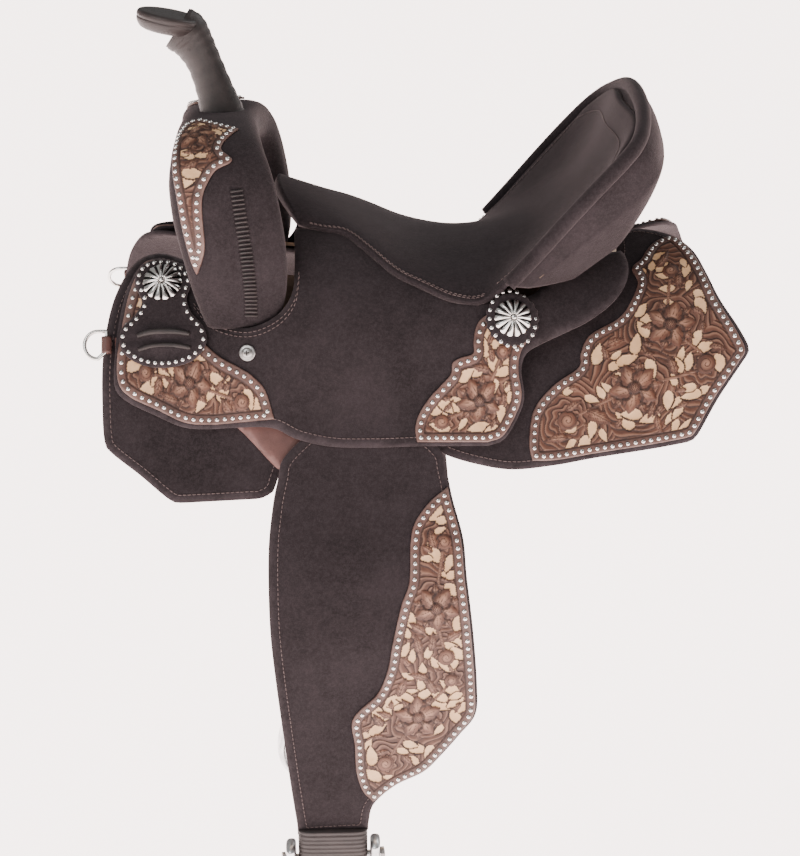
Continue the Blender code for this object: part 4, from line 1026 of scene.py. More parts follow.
    def finish(self):
        """Border, its tooled line, and the stamped ground."""
        border = self.reach < self.border_width
        line = np.clip(1 - np.abs(self.reach - self.border_width) / 0.0009, 0, 1)
        self.ground[border] = 0.0
        self.crest_highlight[border] = 0.0
        self.antique = np.where(border, line, np.maximum(self.antique, line))
        self.height = np.where(border, 0.0009 - 0.0007 * line, self.height)
        wave = np.sin(self.flat / GROUND_PITCH * math.pi)
        self.height += self.ground * GROUND_RISE * wave[:, 0] * wave[:, 1]
        inner = (self.reach > self.border_width) & (self.reach < self.border_width + 0.0012)
        self.antique[inner] = np.maximum(self.antique[inner], 0.6)
        return self.height, {"ground": self.ground, "antique": self.antique, "crest_highlight": self.crest_highlight,
                             "border": border.astype(float)}


# %% [markdown]
# ## Overlays and studs
# Each carved overlay is a pattern on the jockey, the skirt or the fender, with small domed studs set
# along its border. The studs are one mesh for each overlay, a turned dome copied along the border line.

# %% Overlay patterns
FRONT_OVERLAY = [
    (-0.279, 0.0685, 1), (-0.290, 0.068), (-0.299, 0.073), (-0.3130, 0.097), (-0.3235, 0.127),
    (-0.3295, 0.150), (-0.3290, 0.168), (-0.3185, 0.1790), (-0.294, 0.1905), (-0.268, 0.2030),
    (-0.244, 0.2060), (-0.222, 0.2055), (-0.184, 0.2040, 1), (-0.191, 0.180), (-0.202, 0.168),
    (-0.213, 0.161), (-0.230, 0.152), (-0.243, 0.142), (-0.262, 0.125, 1)]
REAR_OVERLAY = [
    (0.031, 0.1235, 1), (0.018, 0.130), (0.012, 0.137), (0.009, 0.148), (0.008, 0.157), (-0.004, 0.160),
    (-0.012, 0.164), (-0.014, 0.173), (-0.024, 0.182), (-0.035, 0.192), (-0.045, 0.205), (-0.0500, 0.219),
    (-0.0495, 0.233, 1), (0.018, 0.2365, 1), (0.0325, 0.2315), (0.045, 0.214), (0.0525, 0.195),
    (0.0505, 0.172), (0.0535, 0.158), (0.062, 0.146), (0.062, 0.132, 1), (0.046, 0.1225)]
SKIRT_OVERLAY = [
    (0.062, 0.2565, 1), (0.0605, 0.238), (0.067, 0.208), (0.088, 0.185), (0.113, 0.170), (0.117, 0.156),
    (0.128, 0.139), (0.158, 0.125), (0.173, 0.108), (0.183, 0.088), (0.181, 0.070), (0.192, 0.060),
    (0.199, 0.050), (0.206, 0.042), (0.217, 0.036), (0.230, 0.037), (0.2405, 0.062), (0.2470, 0.091),
    (0.2530, 0.123), (0.2665, 0.159), (0.2720, 0.178), (0.2650, 0.189), (0.240, 0.2180), (0.2190, 0.2475),
    (0.2105, 0.2515, 1), (0.129, 0.2535), (0.085, 0.2570)]
FENDER_OVERLAY = [
    (-0.0225, 0.278, 1), (-0.041, 0.292), (-0.056, 0.311), (-0.0615, 0.331), (-0.0645, 0.366),
    (-0.073, 0.388), (-0.082, 0.424), (-0.087, 0.452), (-0.097, 0.477), (-0.121, 0.503), (-0.1195, 0.532),
    (-0.118, 0.562), (-0.112, 0.583), (-0.1020, 0.5955, 1), (-0.0785, 0.5770), (-0.0525, 0.5640),
    (-0.0365, 0.5475), (-0.0180, 0.5250), (-0.0035, 0.5045), (-0.0030, 0.474), (-0.0070, 0.420),
    (-0.0120, 0.365), (-0.0135, 0.328), (-0.0210, 0.290)]
STUD = turned(((0.00215, -0.0004), (0.00235, 0.0002), (0.0019, 0.0011), (0.0010, 0.0017)), 10)
STUD_PITCH, STUD_INSET = 0.0074, 0.0043
CARVE_STEP = 0.00095
OVERLAYS = (
    # name, pattern, surface, base height, body, flowers (x, s, radius, turn), buds (x, s, radius), seed
    ("front_overlay", FRONT_OVERLAY, on_jockey, 0.0043, "tree",
     ((-0.262, 0.170, 0.021, 0.2),), ((-0.214, 0.188, 0.0075), (-0.303, 0.160, 0.007)), 5),
    ("rear_overlay", REAR_OVERLAY, on_jockey, 0.0043, "tree",
     ((0.012, 0.197, 0.0215, 0.5),), ((-0.025, 0.215, 0.0075), (0.036, 0.157, 0.0060)), 11),
    ("skirt_overlay", SKIRT_OVERLAY, on_side, 0.0004, "tree",
     ((0.205, 0.140, 0.025, 0.1), (0.164, 0.196, 0.025, 0.6)),
     ((0.098, 0.220, 0.0095), (0.234, 0.185, 0.0095), (0.216, 0.082, 0.0080)), 23),
    ("fender_overlay", FENDER_OVERLAY, on_fender, 0.0087, "fender",
     ((-0.040, 0.392, 0.0225, 0.3), (-0.058, 0.504, 0.0235, 0.9)),
     ((-0.031, 0.441, 0.0085), (-0.026, 0.466, 0.007), (-0.090, 0.553, 0.0085), (-0.030, 0.330, 0.0075)),
     31))


def body_name(stem, word):
    return stem if stem == "tree" else f"{stem}_{word}"


def add_overlay(name, pattern, place, base, stem, flowers, buds, seed):
    line = smooth_line(pattern)
    filled = fill_pattern(line, CARVE_STEP)
    carving = Carving(filled[0], line)
    ordered = sorted(flowers + buds, key=lambda item: item[1])
    if len(ordered) > 1:
        carving.stem([item[:2] for item in ordered])
    for x, s, radius in buds:
        carving.bud((x, s), radius, seed)
    for x, s, radius, turn in flowers:
        carving.flower((x, s), radius, turn)
    centres = [f[:2] for f in flowers] + [b[:2] for b in buds]
    carving.fill(centres, seed, 46)
    carving.scroll(centres, seed, 25 * len(flowers))
    relief, marks = carving.finish()
    studs = inset_line(line, STUD_INSET, STUD_PITCH)
    for word, side in SIDES:
        body = body_name(stem, word)
        cut_piece(f"carved_{name}_{word}", filled, line, base, base + 0.0014, place, side, CARVED, body,
                  0.0008,
                  relief, marks, replaces=(f"{name}_{word}",), slot="tooled_leather")
        scatter(f"studs_{name}_{word}", STUD, frames_on(place, studs, base + 0.0023, side), SILVER, body,
                slot="silver")
    print(name, len(filled[0]), "corners,", len(studs), "studs")


for row in OVERLAYS:
    add_overlay(*row)

# %% [markdown]
# ## Conchos, rosettes and the latigo keeper
# A concho is a fluted silver dome on a scalloped leather rosette. The front one closes the latigo keeper,
# a keyhole of suede with a slot through which the tie strap folds. The flutes are real shapes, so they
# catch the light from any side.

# %% Conchos and keepers
KEEPER_PATTERN = [
    (-0.281, 0.070), (-0.263, 0.075), (-0.2535, 0.090), (-0.259, 0.104), (-0.2560, 0.116), (-0.2455, 0.128),
    (-0.2440, 0.140), (-0.2570, 0.152), (-0.2830, 0.157), (-0.3090, 0.153), (-0.3245, 0.142),
    (-0.3240, 0.128), (-0.3100, 0.117), (-0.3020, 0.106), (-0.3075, 0.090), (-0.2990, 0.075)]
FRONT_CONCHO, REAR_CONCHO, SCREW = (-0.281, 0.0915), (0.047, 0.132), (-0.206, 0.1495)


def concho_shape(radius, petals=14, per=8):
    """A dome of petals, raised in the middle and cut away at the edges, and its blackened grooves."""
    count, rows = petals * per, 9
    points, faces, dark = [], [], []
    for ring in range(rows + 1):
        u = ring / rows
        for k in range(count):
            a = 2 * math.pi * k / count
            wave = 0.5 + 0.5 * math.cos(a * petals)
            out = math.sin(u * math.pi / 2)
            r = radius * (0.10 + 0.90 * out) * (1 - 0.055 * (1 - wave) * u ** 3)
            dome = 0.0056 * (1 - out ** 2) ** 0.75
            petal_rise = 0.0014 * (wave - 0.5) * math.sin(math.pi * min(u * 1.15, 1.0)) ** 0.6
            points.append((r * math.cos(a), r * math.sin(a), 0.0012 + dome + petal_rise))
            dark.append(1.0 if wave < 0.30 and 2 <= ring < rows else 0.0)
    for ring in range(rows):
        for k in range(count):
            a, b = ring * count + k, ring * count + (k + 1) % count
            faces.append((a, b, b + count, a + count))
    boss = [(0.0, 0.0020), (0.10, 0.0018), (0.13, 0.0008), (0.12, -0.0006)]
    start = len(points)
    for r, h in boss[1:]:
        for k in range(count):
            a = 2 * math.pi * k / count
            points.append((radius * r * math.cos(a), radius * r * math.sin(a), 0.0068 + h))
    for ring in range(2):
        for k in range(count):
            a, b = start + ring * count + k, start + ring * count + (k + 1) % count
            faces.append((a, b, b + count, a + count))
    faces.append(tuple(start + k for k in range(count)))
    faces += [(start + 2 * count + k, start + 2 * count + (k + 1) % count, (k + 1) % count,
               k) for k in range(count)]
    last = rows * count
    base = len(points)
    for k in range(count):
        points.append((points[last + k][0] * 0.98, points[last + k][1] * 0.98, 0.0))
    faces += [(last + k, last + (k + 1) % count, base + (k + 1) % count, base + k) for k in range(count)]
    faces.append(tuple(base + k for k in reversed(range(count))))
    return (points, faces), {"antique": dark + [0.0] * (len(points) - len(dark))}


def add_concho(word, name, radius, at, n, side):
    shape, marks = concho_shape(radius)
    scatter(f"silver_{name}_{word}", shape, spot(on_jockey, at, n, side), SILVER, "tree",
            replaces=(f"{name}_{word}",), slot="silver", marks=marks)


def spot(place, at, n, side):
    line = np.array([(at[0] - 0.003, at[1]), at, (at[0] + 0.003, at[1])])
    points, turns = frames_on(place, line, n, side, closed=False)
    return points[1:2], turns[1:2]


def rosette_shape(radius, lobes=20):
    points, faces = turned(((radius, 0.0), (radius * 1.03, 0.0012), (radius, 0.0026),
                            (radius * 0.86, 0.0034)),
                           lobes * 5, 0.055, lobes)
    return points, faces


def screw_shape():
    """A domed screw in a cupped washer; the shade of its cross drive is painted by a dark cross on top."""
    points, faces = turned(((0.0078, 0.0), (0.0080, 0.0008), (0.0066, 0.0016), (0.0052, 0.0010),
                            (0.0050, 0.0018), (0.0040, 0.0028), (0.0022, 0.0033)), 24)
    return points, faces


# Painted shade: a thin near-black cross raised on the screw head stands in for its shaded drive recess.
def drive_shade_cross():
    points, faces = [], []
    for long, wide in ((0.0026, 0.0006), (0.0006, 0.0026)):
        start = len(points)
        points += [(sx * long, sy * wide, z) for z in (0.0030, 0.00345)
                   for sx, sy in ((-1, -1), (1, -1), (1, 1), (-1, 1))]
        faces += [tuple(start + k for k in f) for f in ((3, 2, 1, 0), (4, 5, 6, 7), (0, 1, 5, 4),
                                                        (1, 2, 6, 5), (2, 3, 7, 6), (3, 0, 4, 7))]
    return points, faces


def add_keepers():
    line = smooth_line(KEEPER_PATTERN)
    filled = fill_pattern(line, 0.0022)
    flat = filled[0]
    # the tie strap pushes the slot up into two soft folds
    fold = np.exp(-((flat[:, 0] + 0.285) / 0.024) ** 2)
    across = flat[:, 1] - 0.1365
    ridges = np.exp(-((across - 0.005) / 0.0042) ** 2) + np.exp(-((across + 0.006) / 0.0042) ** 2)
    relief = 0.0034 * fold * ridges
    relief -= 0.0018 * fold * np.exp(-(across / 0.0016) ** 2)
    ring = inset_line(line, 0.0032, 0.0066)
    for word, side in SIDES:
        cut_piece(f"suede_keeper_{word}", filled, line, 0.0068, 0.0105, on_jockey, side, SUEDE, "tree",
                  0.0010, relief,
                  replaces=(f"latigo_keeper_{word}",), slot="suede")
        scatter(f"keeper_studs_{word}", STUD, frames_on(on_jockey, ring, 0.0104, side), SILVER, "tree",
                slot="silver")
        for label, at, wide in (("upper", 0.1300, 0.0036), ("lower", 0.1405, 0.0030)):
            strap = [(-0.309, at + 0.003), (-0.298, at + 0.0005), (-0.285, at), (-0.272, at + 0.0005),
                     (-0.259, at + 0.003)]
            line = even_steps(smooth_line(strap, False), 0.002, False)
            path = [on_jockey(x, s, 0.0112, side) for x, s in line]
            taper = wide * (0.45 + 0.55 * np.sin(np.linspace(0.12, math.pi - 0.12, len(path))) ** 0.6)
            points, faces = loft(tube_rings(path, taper, 12))
            mesh_piece(f"latigo_fold_{label}_{word}", points, faces, DARK_HIDE, "tree",
                       slot="smooth_leather")


def add_conchos():
    for word, side in SIDES:
        add_concho(word, "front_concho", 0.0195, FRONT_CONCHO, 0.0108, side)
        scatter(f"suede_rosette_{word}", rosette_shape(0.0255), spot(on_jockey, REAR_CONCHO, 0.0072, side),
                SUEDE,
                "tree", replaces=(f"rear_rosette_{word}",), slot="suede")
        add_concho(word, "rear_concho", 0.0185, REAR_CONCHO, 0.0106, side)
        turn = np.linspace(0, 2 * math.pi, 21)[:-1]
        ring = np.stack([REAR_CONCHO[0] + 0.0222 * np.cos(turn), REAR_CONCHO[1] + 0.0222 * np.sin(turn)], 1)
        scatter(f"rosette_studs_{word}", STUD, frames_on(on_jockey, ring, 0.0108, side), SILVER, "tree",
                slot="silver")
        scatter(f"jockey_screw_head_{word}", screw_shape(), spot(on_jockey, SCREW, 0.0042, side), STEEL,
                "tree",
                replaces=(f"jockey_screw_{word}",), slot="silver")
        # painted shade of the drive recess: a dark cross laid on the screw head
        scatter(f"screw_drive_shade_{word}", drive_shade_cross(), spot(on_jockey, SCREW, 0.0042, side), DARK_HIDE,
                "tree",
                smooth=False, slot="silver")


add_keepers()
add_conchos()
print("keepers and conchos")

# %% [markdown]
# ## Swell and horn
# The swell is the arch at the front of the tree, covered in suede that is pulled tight and laced up its
# side with a whip stitch. Its section is a rounded box that changes size along the arch, so a surface
# function of two lengths, round the section and along the arch, carries the cover, the carved overlay,
# the studs and the lace alike. The horn is a tapered neck with a tilted round cap.

# %% Swell surface
ARCH = np.array((
    # half width y, height z, front x, rear x, thickness across the arch
    (0.127, 0.050, -0.238, -0.176, 0.024), (0.133, 0.085, -0.250, -0.169, 0.028),
    (0.138, 0.122, -0.259, -0.169, 0.032), (0.137, 0.160, -0.266, -0.173, 0.036),
    (0.124, 0.199, -0.268, -0.179, 0.037), (0.096, 0.222, -0.264, -0.184, 0.035),
    (0.050, 0.231, -0.257, -0.185, 0.031), (0.000, 0.233, -0.252, -0.185, 0.030)))
WHOLE_ARCH = spline_rows(np.vstack([ARCH, ARCH[-2::-1] * (-1, 1, 1, 1, 1)]), 8)
ARCH_LENGTH = np.concatenate([[0.0], np.cumsum(np.linalg.norm(np.diff(WHOLE_ARCH[:, :2], axis=0), axis=1))])
SECTION_POWER, COVER_N = 0.62, 0.0041


def section_angles():
    """Angle round the section for each length, measured from the middle of its outer face to the front."""
    a = np.linspace(-math.pi / 2, 1.5 * math.pi, 2400)
    x = 0.047 * np.sign(np.cos(a)) * np.abs(np.cos(a)) ** SECTION_POWER
    o = 0.0215 * np.sign(np.sin(a)) * np.abs(np.sin(a)) ** SECTION_POWER
    length = np.concatenate([[0.0], np.cumsum(np.hypot(np.diff(x), np.diff(o)))])
    return length - np.interp(math.pi / 2, a, length), a


SECTION_LENGTH, SECTION_ANGLE = section_angles()


def on_swell(u, v, n, side):
    """Swell point: u round the section towards the front, v up the arch from its foot, n out."""
    u, v, n = np.broadcast_arrays(np.asarray(u, float), np.asarray(v, float), np.asarray(n, float))
    y, z, x0, x1, thick = (np.interp(v, ARCH_LENGTH, WHOLE_ARCH[:, k]) for k in range(5))
    reach = 0.004
    dy = (np.interp(v + reach, ARCH_LENGTH, WHOLE_ARCH[:, 0])
          - np.interp(v - reach, ARCH_LENGTH, WHOLE_ARCH[:, 0]))
    dz = (np.interp(v + reach, ARCH_LENGTH, WHOLE_ARCH[:, 1])
          - np.interp(v - reach, ARCH_LENGTH, WHOLE_ARCH[:, 1]))
    run = np.hypot(dy, dz)
    oy, oz = dz / run, -dy / run
    a = np.interp(u, SECTION_LENGTH, SECTION_ANGLE)
    c, s = np.cos(a), np.sin(a)
    across = ((x1 - x0) / 2 + n) * np.sign(c) * np.abs(c) ** SECTION_POWER
    out = (thick / 2 + n) * np.sign(s) * np.abs(s) ** SECTION_POWER - thick / 2
    return swept(np.stack([(x0 + x1) / 2 + across, side * (y + oy * out), z + oz * out], -1))


# %% Swell cover, lace and overlay
SWELL_OVERLAY = [
    (0.0375, 0.0592, 1), (0.0310, 0.0709), (0.0245, 0.0895), (0.0205, 0.1290), (0.0120, 0.1470),
    (0.0040, 0.1560), (-0.0105, 0.1640), (-0.0020, 0.1780), (-0.0150, 0.1990), (-0.0220, 0.2085, 1),
    (-0.0035, 0.2223), (0.0160, 0.2405, 1), (0.0320, 0.2362), (0.0405, 0.2150), (0.0440, 0.1873),
    (0.0440, 0.1594), (0.0415, 0.1290), (0.0400, 0.0755)]


def lace_shape():
    """One rung of the whip lace: a flat strip of leather pulled over the seam."""
    points, faces = loft([np.array([(x, w * y, h * z) for y,
                                    z in ((-1, 0), (-0.7, 0.8), (0, 1), (0.7, 0.8), (1, 0), (0, -0.4))])
                          for x, w, h in ((-0.0062, 0.0006, 0.0002), (-0.0050, 0.0013, 0.0019),
                                          (0.0, 0.0011, 0.0013), (0.0050, 0.0013, 0.0019),
                                          (0.0062, 0.0006, 0.0002))])
    return points, faces


def add_swell():
    around = np.linspace(SECTION_LENGTH[0], SECTION_LENGTH[-1], 65)[:-1]
    along = np.linspace(0.0015, ARCH_LENGTH[-1] - 0.0015, 132)
    rings = [on_swell(around, v, COVER_N, 1) for v in along]
    points, faces = loft(rings)
    mesh_piece("suede_swell", points, faces, SUEDE, "tree", replaces=("swell_cover",), slot="suede")
    line = smooth_line(SWELL_OVERLAY)
    filled = fill_pattern(line, CARVE_STEP)
    carving = Carving(filled[0], line, 0.0075)
    carving.bud((0.024, 0.118), 0.0062, 1)
    carving.bud((0.003, 0.214), 0.0060, 2)
    carving.flower((0.021, 0.197), 0.0205, 0.4)
    carving.fill([(0.021, 0.197)], 17, 26)
    carving.scroll([(0.021, 0.197), (0.024, 0.118)], 17, 12)
    relief, marks = carving.finish()
    studs = inset_line(line, 0.0038, STUD_PITCH)
    lace = even_steps(np.array([(-0.0090, 0.0150), (-0.0105, 0.136)]), 0.0040, False)
    for word, side in SIDES:
        cut_piece(f"carved_swell_overlay_{word}", filled, line, COVER_N + 0.0003, COVER_N + 0.0016,
                  on_swell, side, CARVED,
                  "tree", 0.0008, relief, marks, replaces=("swell_overlay",), slot="tooled_leather")
        scatter(f"studs_swell_overlay_{word}", STUD, frames_on(on_swell, studs, COVER_N + 0.0024, side),
                SILVER, "tree",
                slot="silver")
        at, turns = frames_on(on_swell, lace, COVER_N, side, False)
        turns = np.stack([turns[:, :, 1], turns[:, :, 0], turns[:, :, 2]], 2)
        scatter(f"whip_lace_{word}", lace_shape(), (at, turns), DARK_HIDE, "tree", slot="smooth_leather")


add_swell()
print("swell", round(float(ARCH_LENGTH[-1]), 3), "m along the arch")

# %% Horn
NECK = ((-0.2140, 0.222, 0.0225), (-0.2165, 0.236, 0.0190), (-0.2225, 0.258, 0.0160),
        (-0.2315, 0.284, 0.0150), (-0.2405, 0.302, 0.0172), (-0.2480, 0.3125, 0.0200),
        (-0.2560, 0.3185, 0.0190))
CAP_R, CAP_T, CAP_TILT, CAP_AT = 0.0315, 0.013, math.radians(14.0), (-0.2645, 0.3275)
CAP_PROFILE = ((0.30, -0.98), (0.72, -0.95), (0.88, -0.72), (0.955, -0.45), (0.985, -0.22), (0.975, -0.12),
               (0.995, -0.02), (1.0, 0.12), (0.985, 0.26), (0.94, 0.36), (0.86, 0.40), (0.60, 0.43),
               (0.25, 0.44), (0.06, 0.44))


def add_horn():
    path = spline_rows(NECK, 6)
    wrap = path[:, 2] + 0.00035 * np.sin(np.arange(len(path)) * 2.1)
    rings = tube_rings(np.stack([path[:, 0], np.zeros(len(path)), path[:, 1]], 1), wrap, 40, squash=1.12)
    points, faces = loft(rings)
    mesh_piece("leather_horn_neck", swept(points), faces, DARK_HIDE, "tree", replaces=("horn_neck",),
               slot="smooth_leather")
    right = np.array((math.cos(CAP_TILT), 0.0, -math.sin(CAP_TILT)))
    up = np.array((math.sin(CAP_TILT), 0.0, math.cos(CAP_TILT)))
    turn = 2 * np.pi * np.arange(64) / 64
    centre = np.array((CAP_AT[0], 0.0, CAP_AT[1]))
    rings = []
    for share, height in spline_rows(CAP_PROFILE, 2):
        radius = CAP_R * share
        rings.append(centre + up * height * CAP_T
                     + radius * (np.cos(turn)[:, None] * right
                                 + np.sin(turn)[:, None] * np.array((0.0, 1.0, 0.0))))
    points, faces = loft(rings)
    mesh_piece("leather_horn_cap", swept(points), faces, DARK_HIDE, "tree", replaces=("horn_cap",),
               slot="smooth_leather")


add_horn()
print("horn")

# %% [markdown]
# ## Seat and cantle
# The seat is foam under suede: one skin that runs from the swell, down through the hollow and up the
# face of the cantle. It is lofted from rows across the saddle, with the foam's crown added between the
# seams and the edge rolled under. The cantle behind it is thick, with a rolled border round its rim.

# %% Seat
SEAT_ROWS = (
    (-0.163, 0.166, -0.146, 0.047), (-0.130, 0.150, -0.122, 0.0505), (-0.098, 0.134, -0.100, 0.0520),
    (-0.064, 0.117, -0.081, 0.0680), (-0.034, 0.103, -0.058, 0.0890), (-0.006, 0.095, -0.034, 0.1010),
    (0.028, 0.0935, -0.008, 0.1125), (0.062, 0.100, 0.018, 0.1145))
CANTLE_ROWS = (
    (0.096, 0.112, 0.050, 0.129, 0.096, 2.4), (0.127, 0.137, 0.080, 0.132, 0.128, 2.8),
    (0.149, 0.167, 0.106, 0.132, 0.156, 3.4), (0.164, 0.198, 0.126, 0.131, 0.177, 4.2),
    (0.1745, 0.2265, 0.136, 0.130, 0.188, 5.2))
SEAT_EDGE_N, SEAT_T = 0.0114, 0.0085


def seat_grid(columns=61):
    """Rows of the seat's skin from front to back, smooth both ways, and the foam's crown."""
    share = np.sin(np.linspace(-1, 1, columns) * math.pi / 2)
    rows = []
    for k in range(len(SEAT_ROWS) + len(CANTLE_ROWS)):
        if k < len(SEAT_ROWS):
            cx, cz, ex, es = SEAT_ROWS[k]
            _, ey, ez = plain_side(ex, es, SEAT_EDGE_N, 1, True)
            late = 2.2
        else:
            cx, cz, ex, ey, ez, late = CANTLE_ROWS[k - len(SEAT_ROWS)]
        blend = np.abs(share) ** late
        rows.append(np.stack([cx + (ex - cx) * blend, ey * share, cz + (ez - cz) * blend], 1))
    grid = spline_rows(np.array(rows), 7)
    count = len(grid)
    along, across = np.gradient(grid, axis=0), np.gradient(grid, axis=1)
    normal = np.cross(along, across)
    normal /= np.linalg.norm(normal, axis=2)[:, :, None]
    normal *= np.sign(normal[:, :, 2:3] - normal[:, :, 0:1] * 0.3)
    back = np.linspace(0, 1, count)[:, None]
    crown = 0.0040 * (1 - share[None, :] ** 2) ** 0.7 * np.sin(np.pi * np.clip(back, 0.02, 0.98)) ** 0.5
    rim = np.maximum(np.abs(share)[None, :] ** 14, np.clip((back - 0.955) / 0.045, 0, 1) ** 2)
    return grid, normal, crown - 0.0035 * rim


def add_seat():
    grid, normal, crown = seat_grid()
    top = grid + normal * crown[:, :, None]
    low = grid - normal * SEAT_T
    rows, columns = grid.shape[:2]
    points = np.vstack([top.reshape(-1, 3), low.reshape(-1, 3)])
    half = rows * columns
    faces = []
    for r in range(rows - 1):
        for c in range(columns - 1):
            a, b = r * columns + c, r * columns + c + 1
            d, e = b + columns, a + columns
            faces += [(a, b, d, e), (a + half, e + half, d + half, b + half)]
    border = ([c for c in range(columns)] + [r * columns + columns - 1 for r in range(1, rows)]
              + [(rows - 1) * columns + c for c in range(columns - 2, -1, -1)]
              + [r * columns for r in range(rows - 2, 0, -1)])
    faces += [(a, a + half, b + half, b) for a, b in zip(border, border[1:] + border[:1])]
    seat = mesh_piece("suede_seat", swept(points), faces, SUEDE, "tree", replaces=("seat",), slot="suede")
    return swept(top), normal


def sewn_rows(name, grid, normal, picks, lift=0.0003, pitch=0.0046):
    """Stitches along a row of grid places, each (row, column)."""
    path = np.array([grid[r, c] for r, c in picks])
    facing = np.array([normal[r, c] for r, c in picks])
    both = even_steps(np.hstack([path, facing * 0.001]), pitch, False)
    at, out = both[:, :3], both[:, 3:]
    out = out / np.linalg.norm(out, axis=1)[:, None]
    along = np.gradient(at, axis=0)
    along -= out * np.einsum("ij,ij->i", along, out)[:, None]
    along /= np.linalg.norm(along, axis=1)[:, None]
    turns = np.stack([along, np.cross(out, along), out], 2)
    scatter(name, STITCH, (at + out * lift, turns), THREAD, "tree", slot="smooth_leather")


seat_top, seat_normal = add_seat()
last_row, last_column = seat_top.shape[0] - 1, seat_top.shape[1] - 1
for offset, label in ((5, "inner"), (4, "outer")):
    for word, column in (("left", offset), ("right", last_column - offset)):
        sewn_rows(f"seat_seam_{label}_{word}", seat_top, seat_normal, [(r, column) for r in range(4, 50)])
CANTLE_SEAM = ([(r, 6) for r in range(52, last_row - 6)]
               + [(last_row - 6, c) for c in range(7, last_column - 6)]
               + [(r, last_column - 6) for r in range(last_row - 7, 51, -1)])
sewn_rows("cantle_seam", seat_top, seat_normal, CANTLE_SEAM)
print("seat", seat_top.shape)

# %% Cantle
RIM = ((0.036, 0.1395, 0.086), (0.062, 0.1405, 0.114), (0.088, 0.141, 0.143), (0.114, 0.141, 0.171),
       (0.139, 0.139, 0.196), (0.156, 0.128, 0.211), (0.168, 0.104, 0.2215), (0.177, 0.070, 0.2310),
       (0.182, 0.035, 0.2370), (0.184, 0.0, 0.2390))
CANTLE_FOOT = (0.142, 0.074)
CANTLE_SECTION = (
    # share of the way down to the foot, distance down, distance behind the rim
    (0.0, 0.0040, 0.0030), (0.0, -0.0010, 0.0080), (0.0, -0.0015, 0.0150), (0.0, 0.0030, 0.0260),
    (0.05, 0.0060, 0.0350), (0.15, 0.0, 0.0385), (0.32, 0.0, 0.0365), (0.50, 0.0, 0.0315),
    (0.68, 0.0, 0.0250), (0.80, 0.0, 0.0185), (0.78, 0.0, 0.0130), (0.45, 0.0, 0.0110), (0.15, 0.0, 0.0100))

BOARD_DOWN, BOARD_REACH = 0.012, 0.42
BOARD_FACE, BOARD_REAR, BOARD_FOOT = 0.012, 0.0300, 0.0200     # depths behind the rim


def add_cantle():
    half = [(x, -y, z) for x, y, z in RIM]
    rim = spline_rows(half + [(x, -y, z) for x, y, z in reversed(half[:-1])], 6)
    behind = np.array((0.86, 0.0, -0.50))
    rings, board = [], []
    for p in rim:
        reach = np.array((CANTLE_FOOT[0], p[1] * 0.55, CANTLE_FOOT[1])) - p
        length = float(np.linalg.norm(reach))
        inward = reach / length
        full = min(max((p[2] - RIM[0][2]) / 0.100, 0.0), 1.0)
        thick = 0.40 + 0.60 * full
        section = [p + inward * (share * length * 0.86 + down) + behind * (0.003 + (deep - 0.003) * thick)
                   for share, down, deep in CANTLE_SECTION]
        face, rear, foot = (0.010 + (deep - 0.010) * thick for deep in (BOARD_FACE, BOARD_REAR, BOARD_FOOT))
        board.append([p + inward * down + behind * deep for down, deep in
                      ((BOARD_DOWN, face), (BOARD_DOWN, rear), (BOARD_REACH * length, foot),
                       (BOARD_REACH * length, face))])
        closed = spline_rows([section[-1]] + section + [section[0], section[1]], 4)[4:-4]
        rings.append(closed[:-1])
    points, faces = loft(rings)
    mesh_piece("suede_cantle_back", swept(points), faces, SUEDE, "tree", replaces=("cantle_back",),
               slot="suede")
    points, faces = loft([np.array(ring) for ring in board[3:-3]])
    mesh_piece("wood_cantle_board", swept(points), faces, WOOD, "tree", False, replaces=("cantle_board",),
               slot="wood")
    roll = tube_rings(rim + np.array((0.0070, 0.0, -0.0030)), 0.0072, 18)
    points, faces = loft(roll)
    mesh_piece("suede_cantle_roll", swept(points), faces, SUEDE, "tree", replaces=("cantle_binding",),
               slot="suede")


add_cantle()
print("cantle")

# %% [markdown]
# ## Fenders
# The fender is the broad leather that hangs between the leg and the horse. On the real saddle it is one
# piece with the leathers that pass over the tree, and it folds just below the jockey when it is lifted.
# So it is made in one piece here, in its hanging shape, and is attached to neither of the two
# bodies that its hinge joins.

# %% Fenders
LIFT_S, FENDER_END, FENDER_N, FENDER_T = 0.2410, 0.630, 0.0038, 0.0045
FENDER_PATTERN = [
    (-0.140, 0.210, 1), (-0.060, 0.210, 1), (-0.0275, LIFT_S), (-0.022, 0.262), (-0.018, 0.290),
    (-0.0105, 0.328), (-0.009, 0.365), (-0.004, 0.420), (0.000, 0.474), (-0.001, 0.506), (-0.016, 0.527),
    (-0.035, 0.550), (-0.052, 0.567), (-0.079, 0.580), (-0.101, 0.600), (-0.1065, FENDER_END - 0.008, 1),
    (-0.1065, FENDER_END, 1), (-0.1765, FENDER_END, 1), (-0.1765, FENDER_END - 0.008, 1), (-0.184, 0.561),
    (-0.195, 0.458), (-0.199, 0.400), (-0.197, 0.335), (-0.190, 0.289), (-0.183, 0.262), (-0.1755, LIFT_S)]


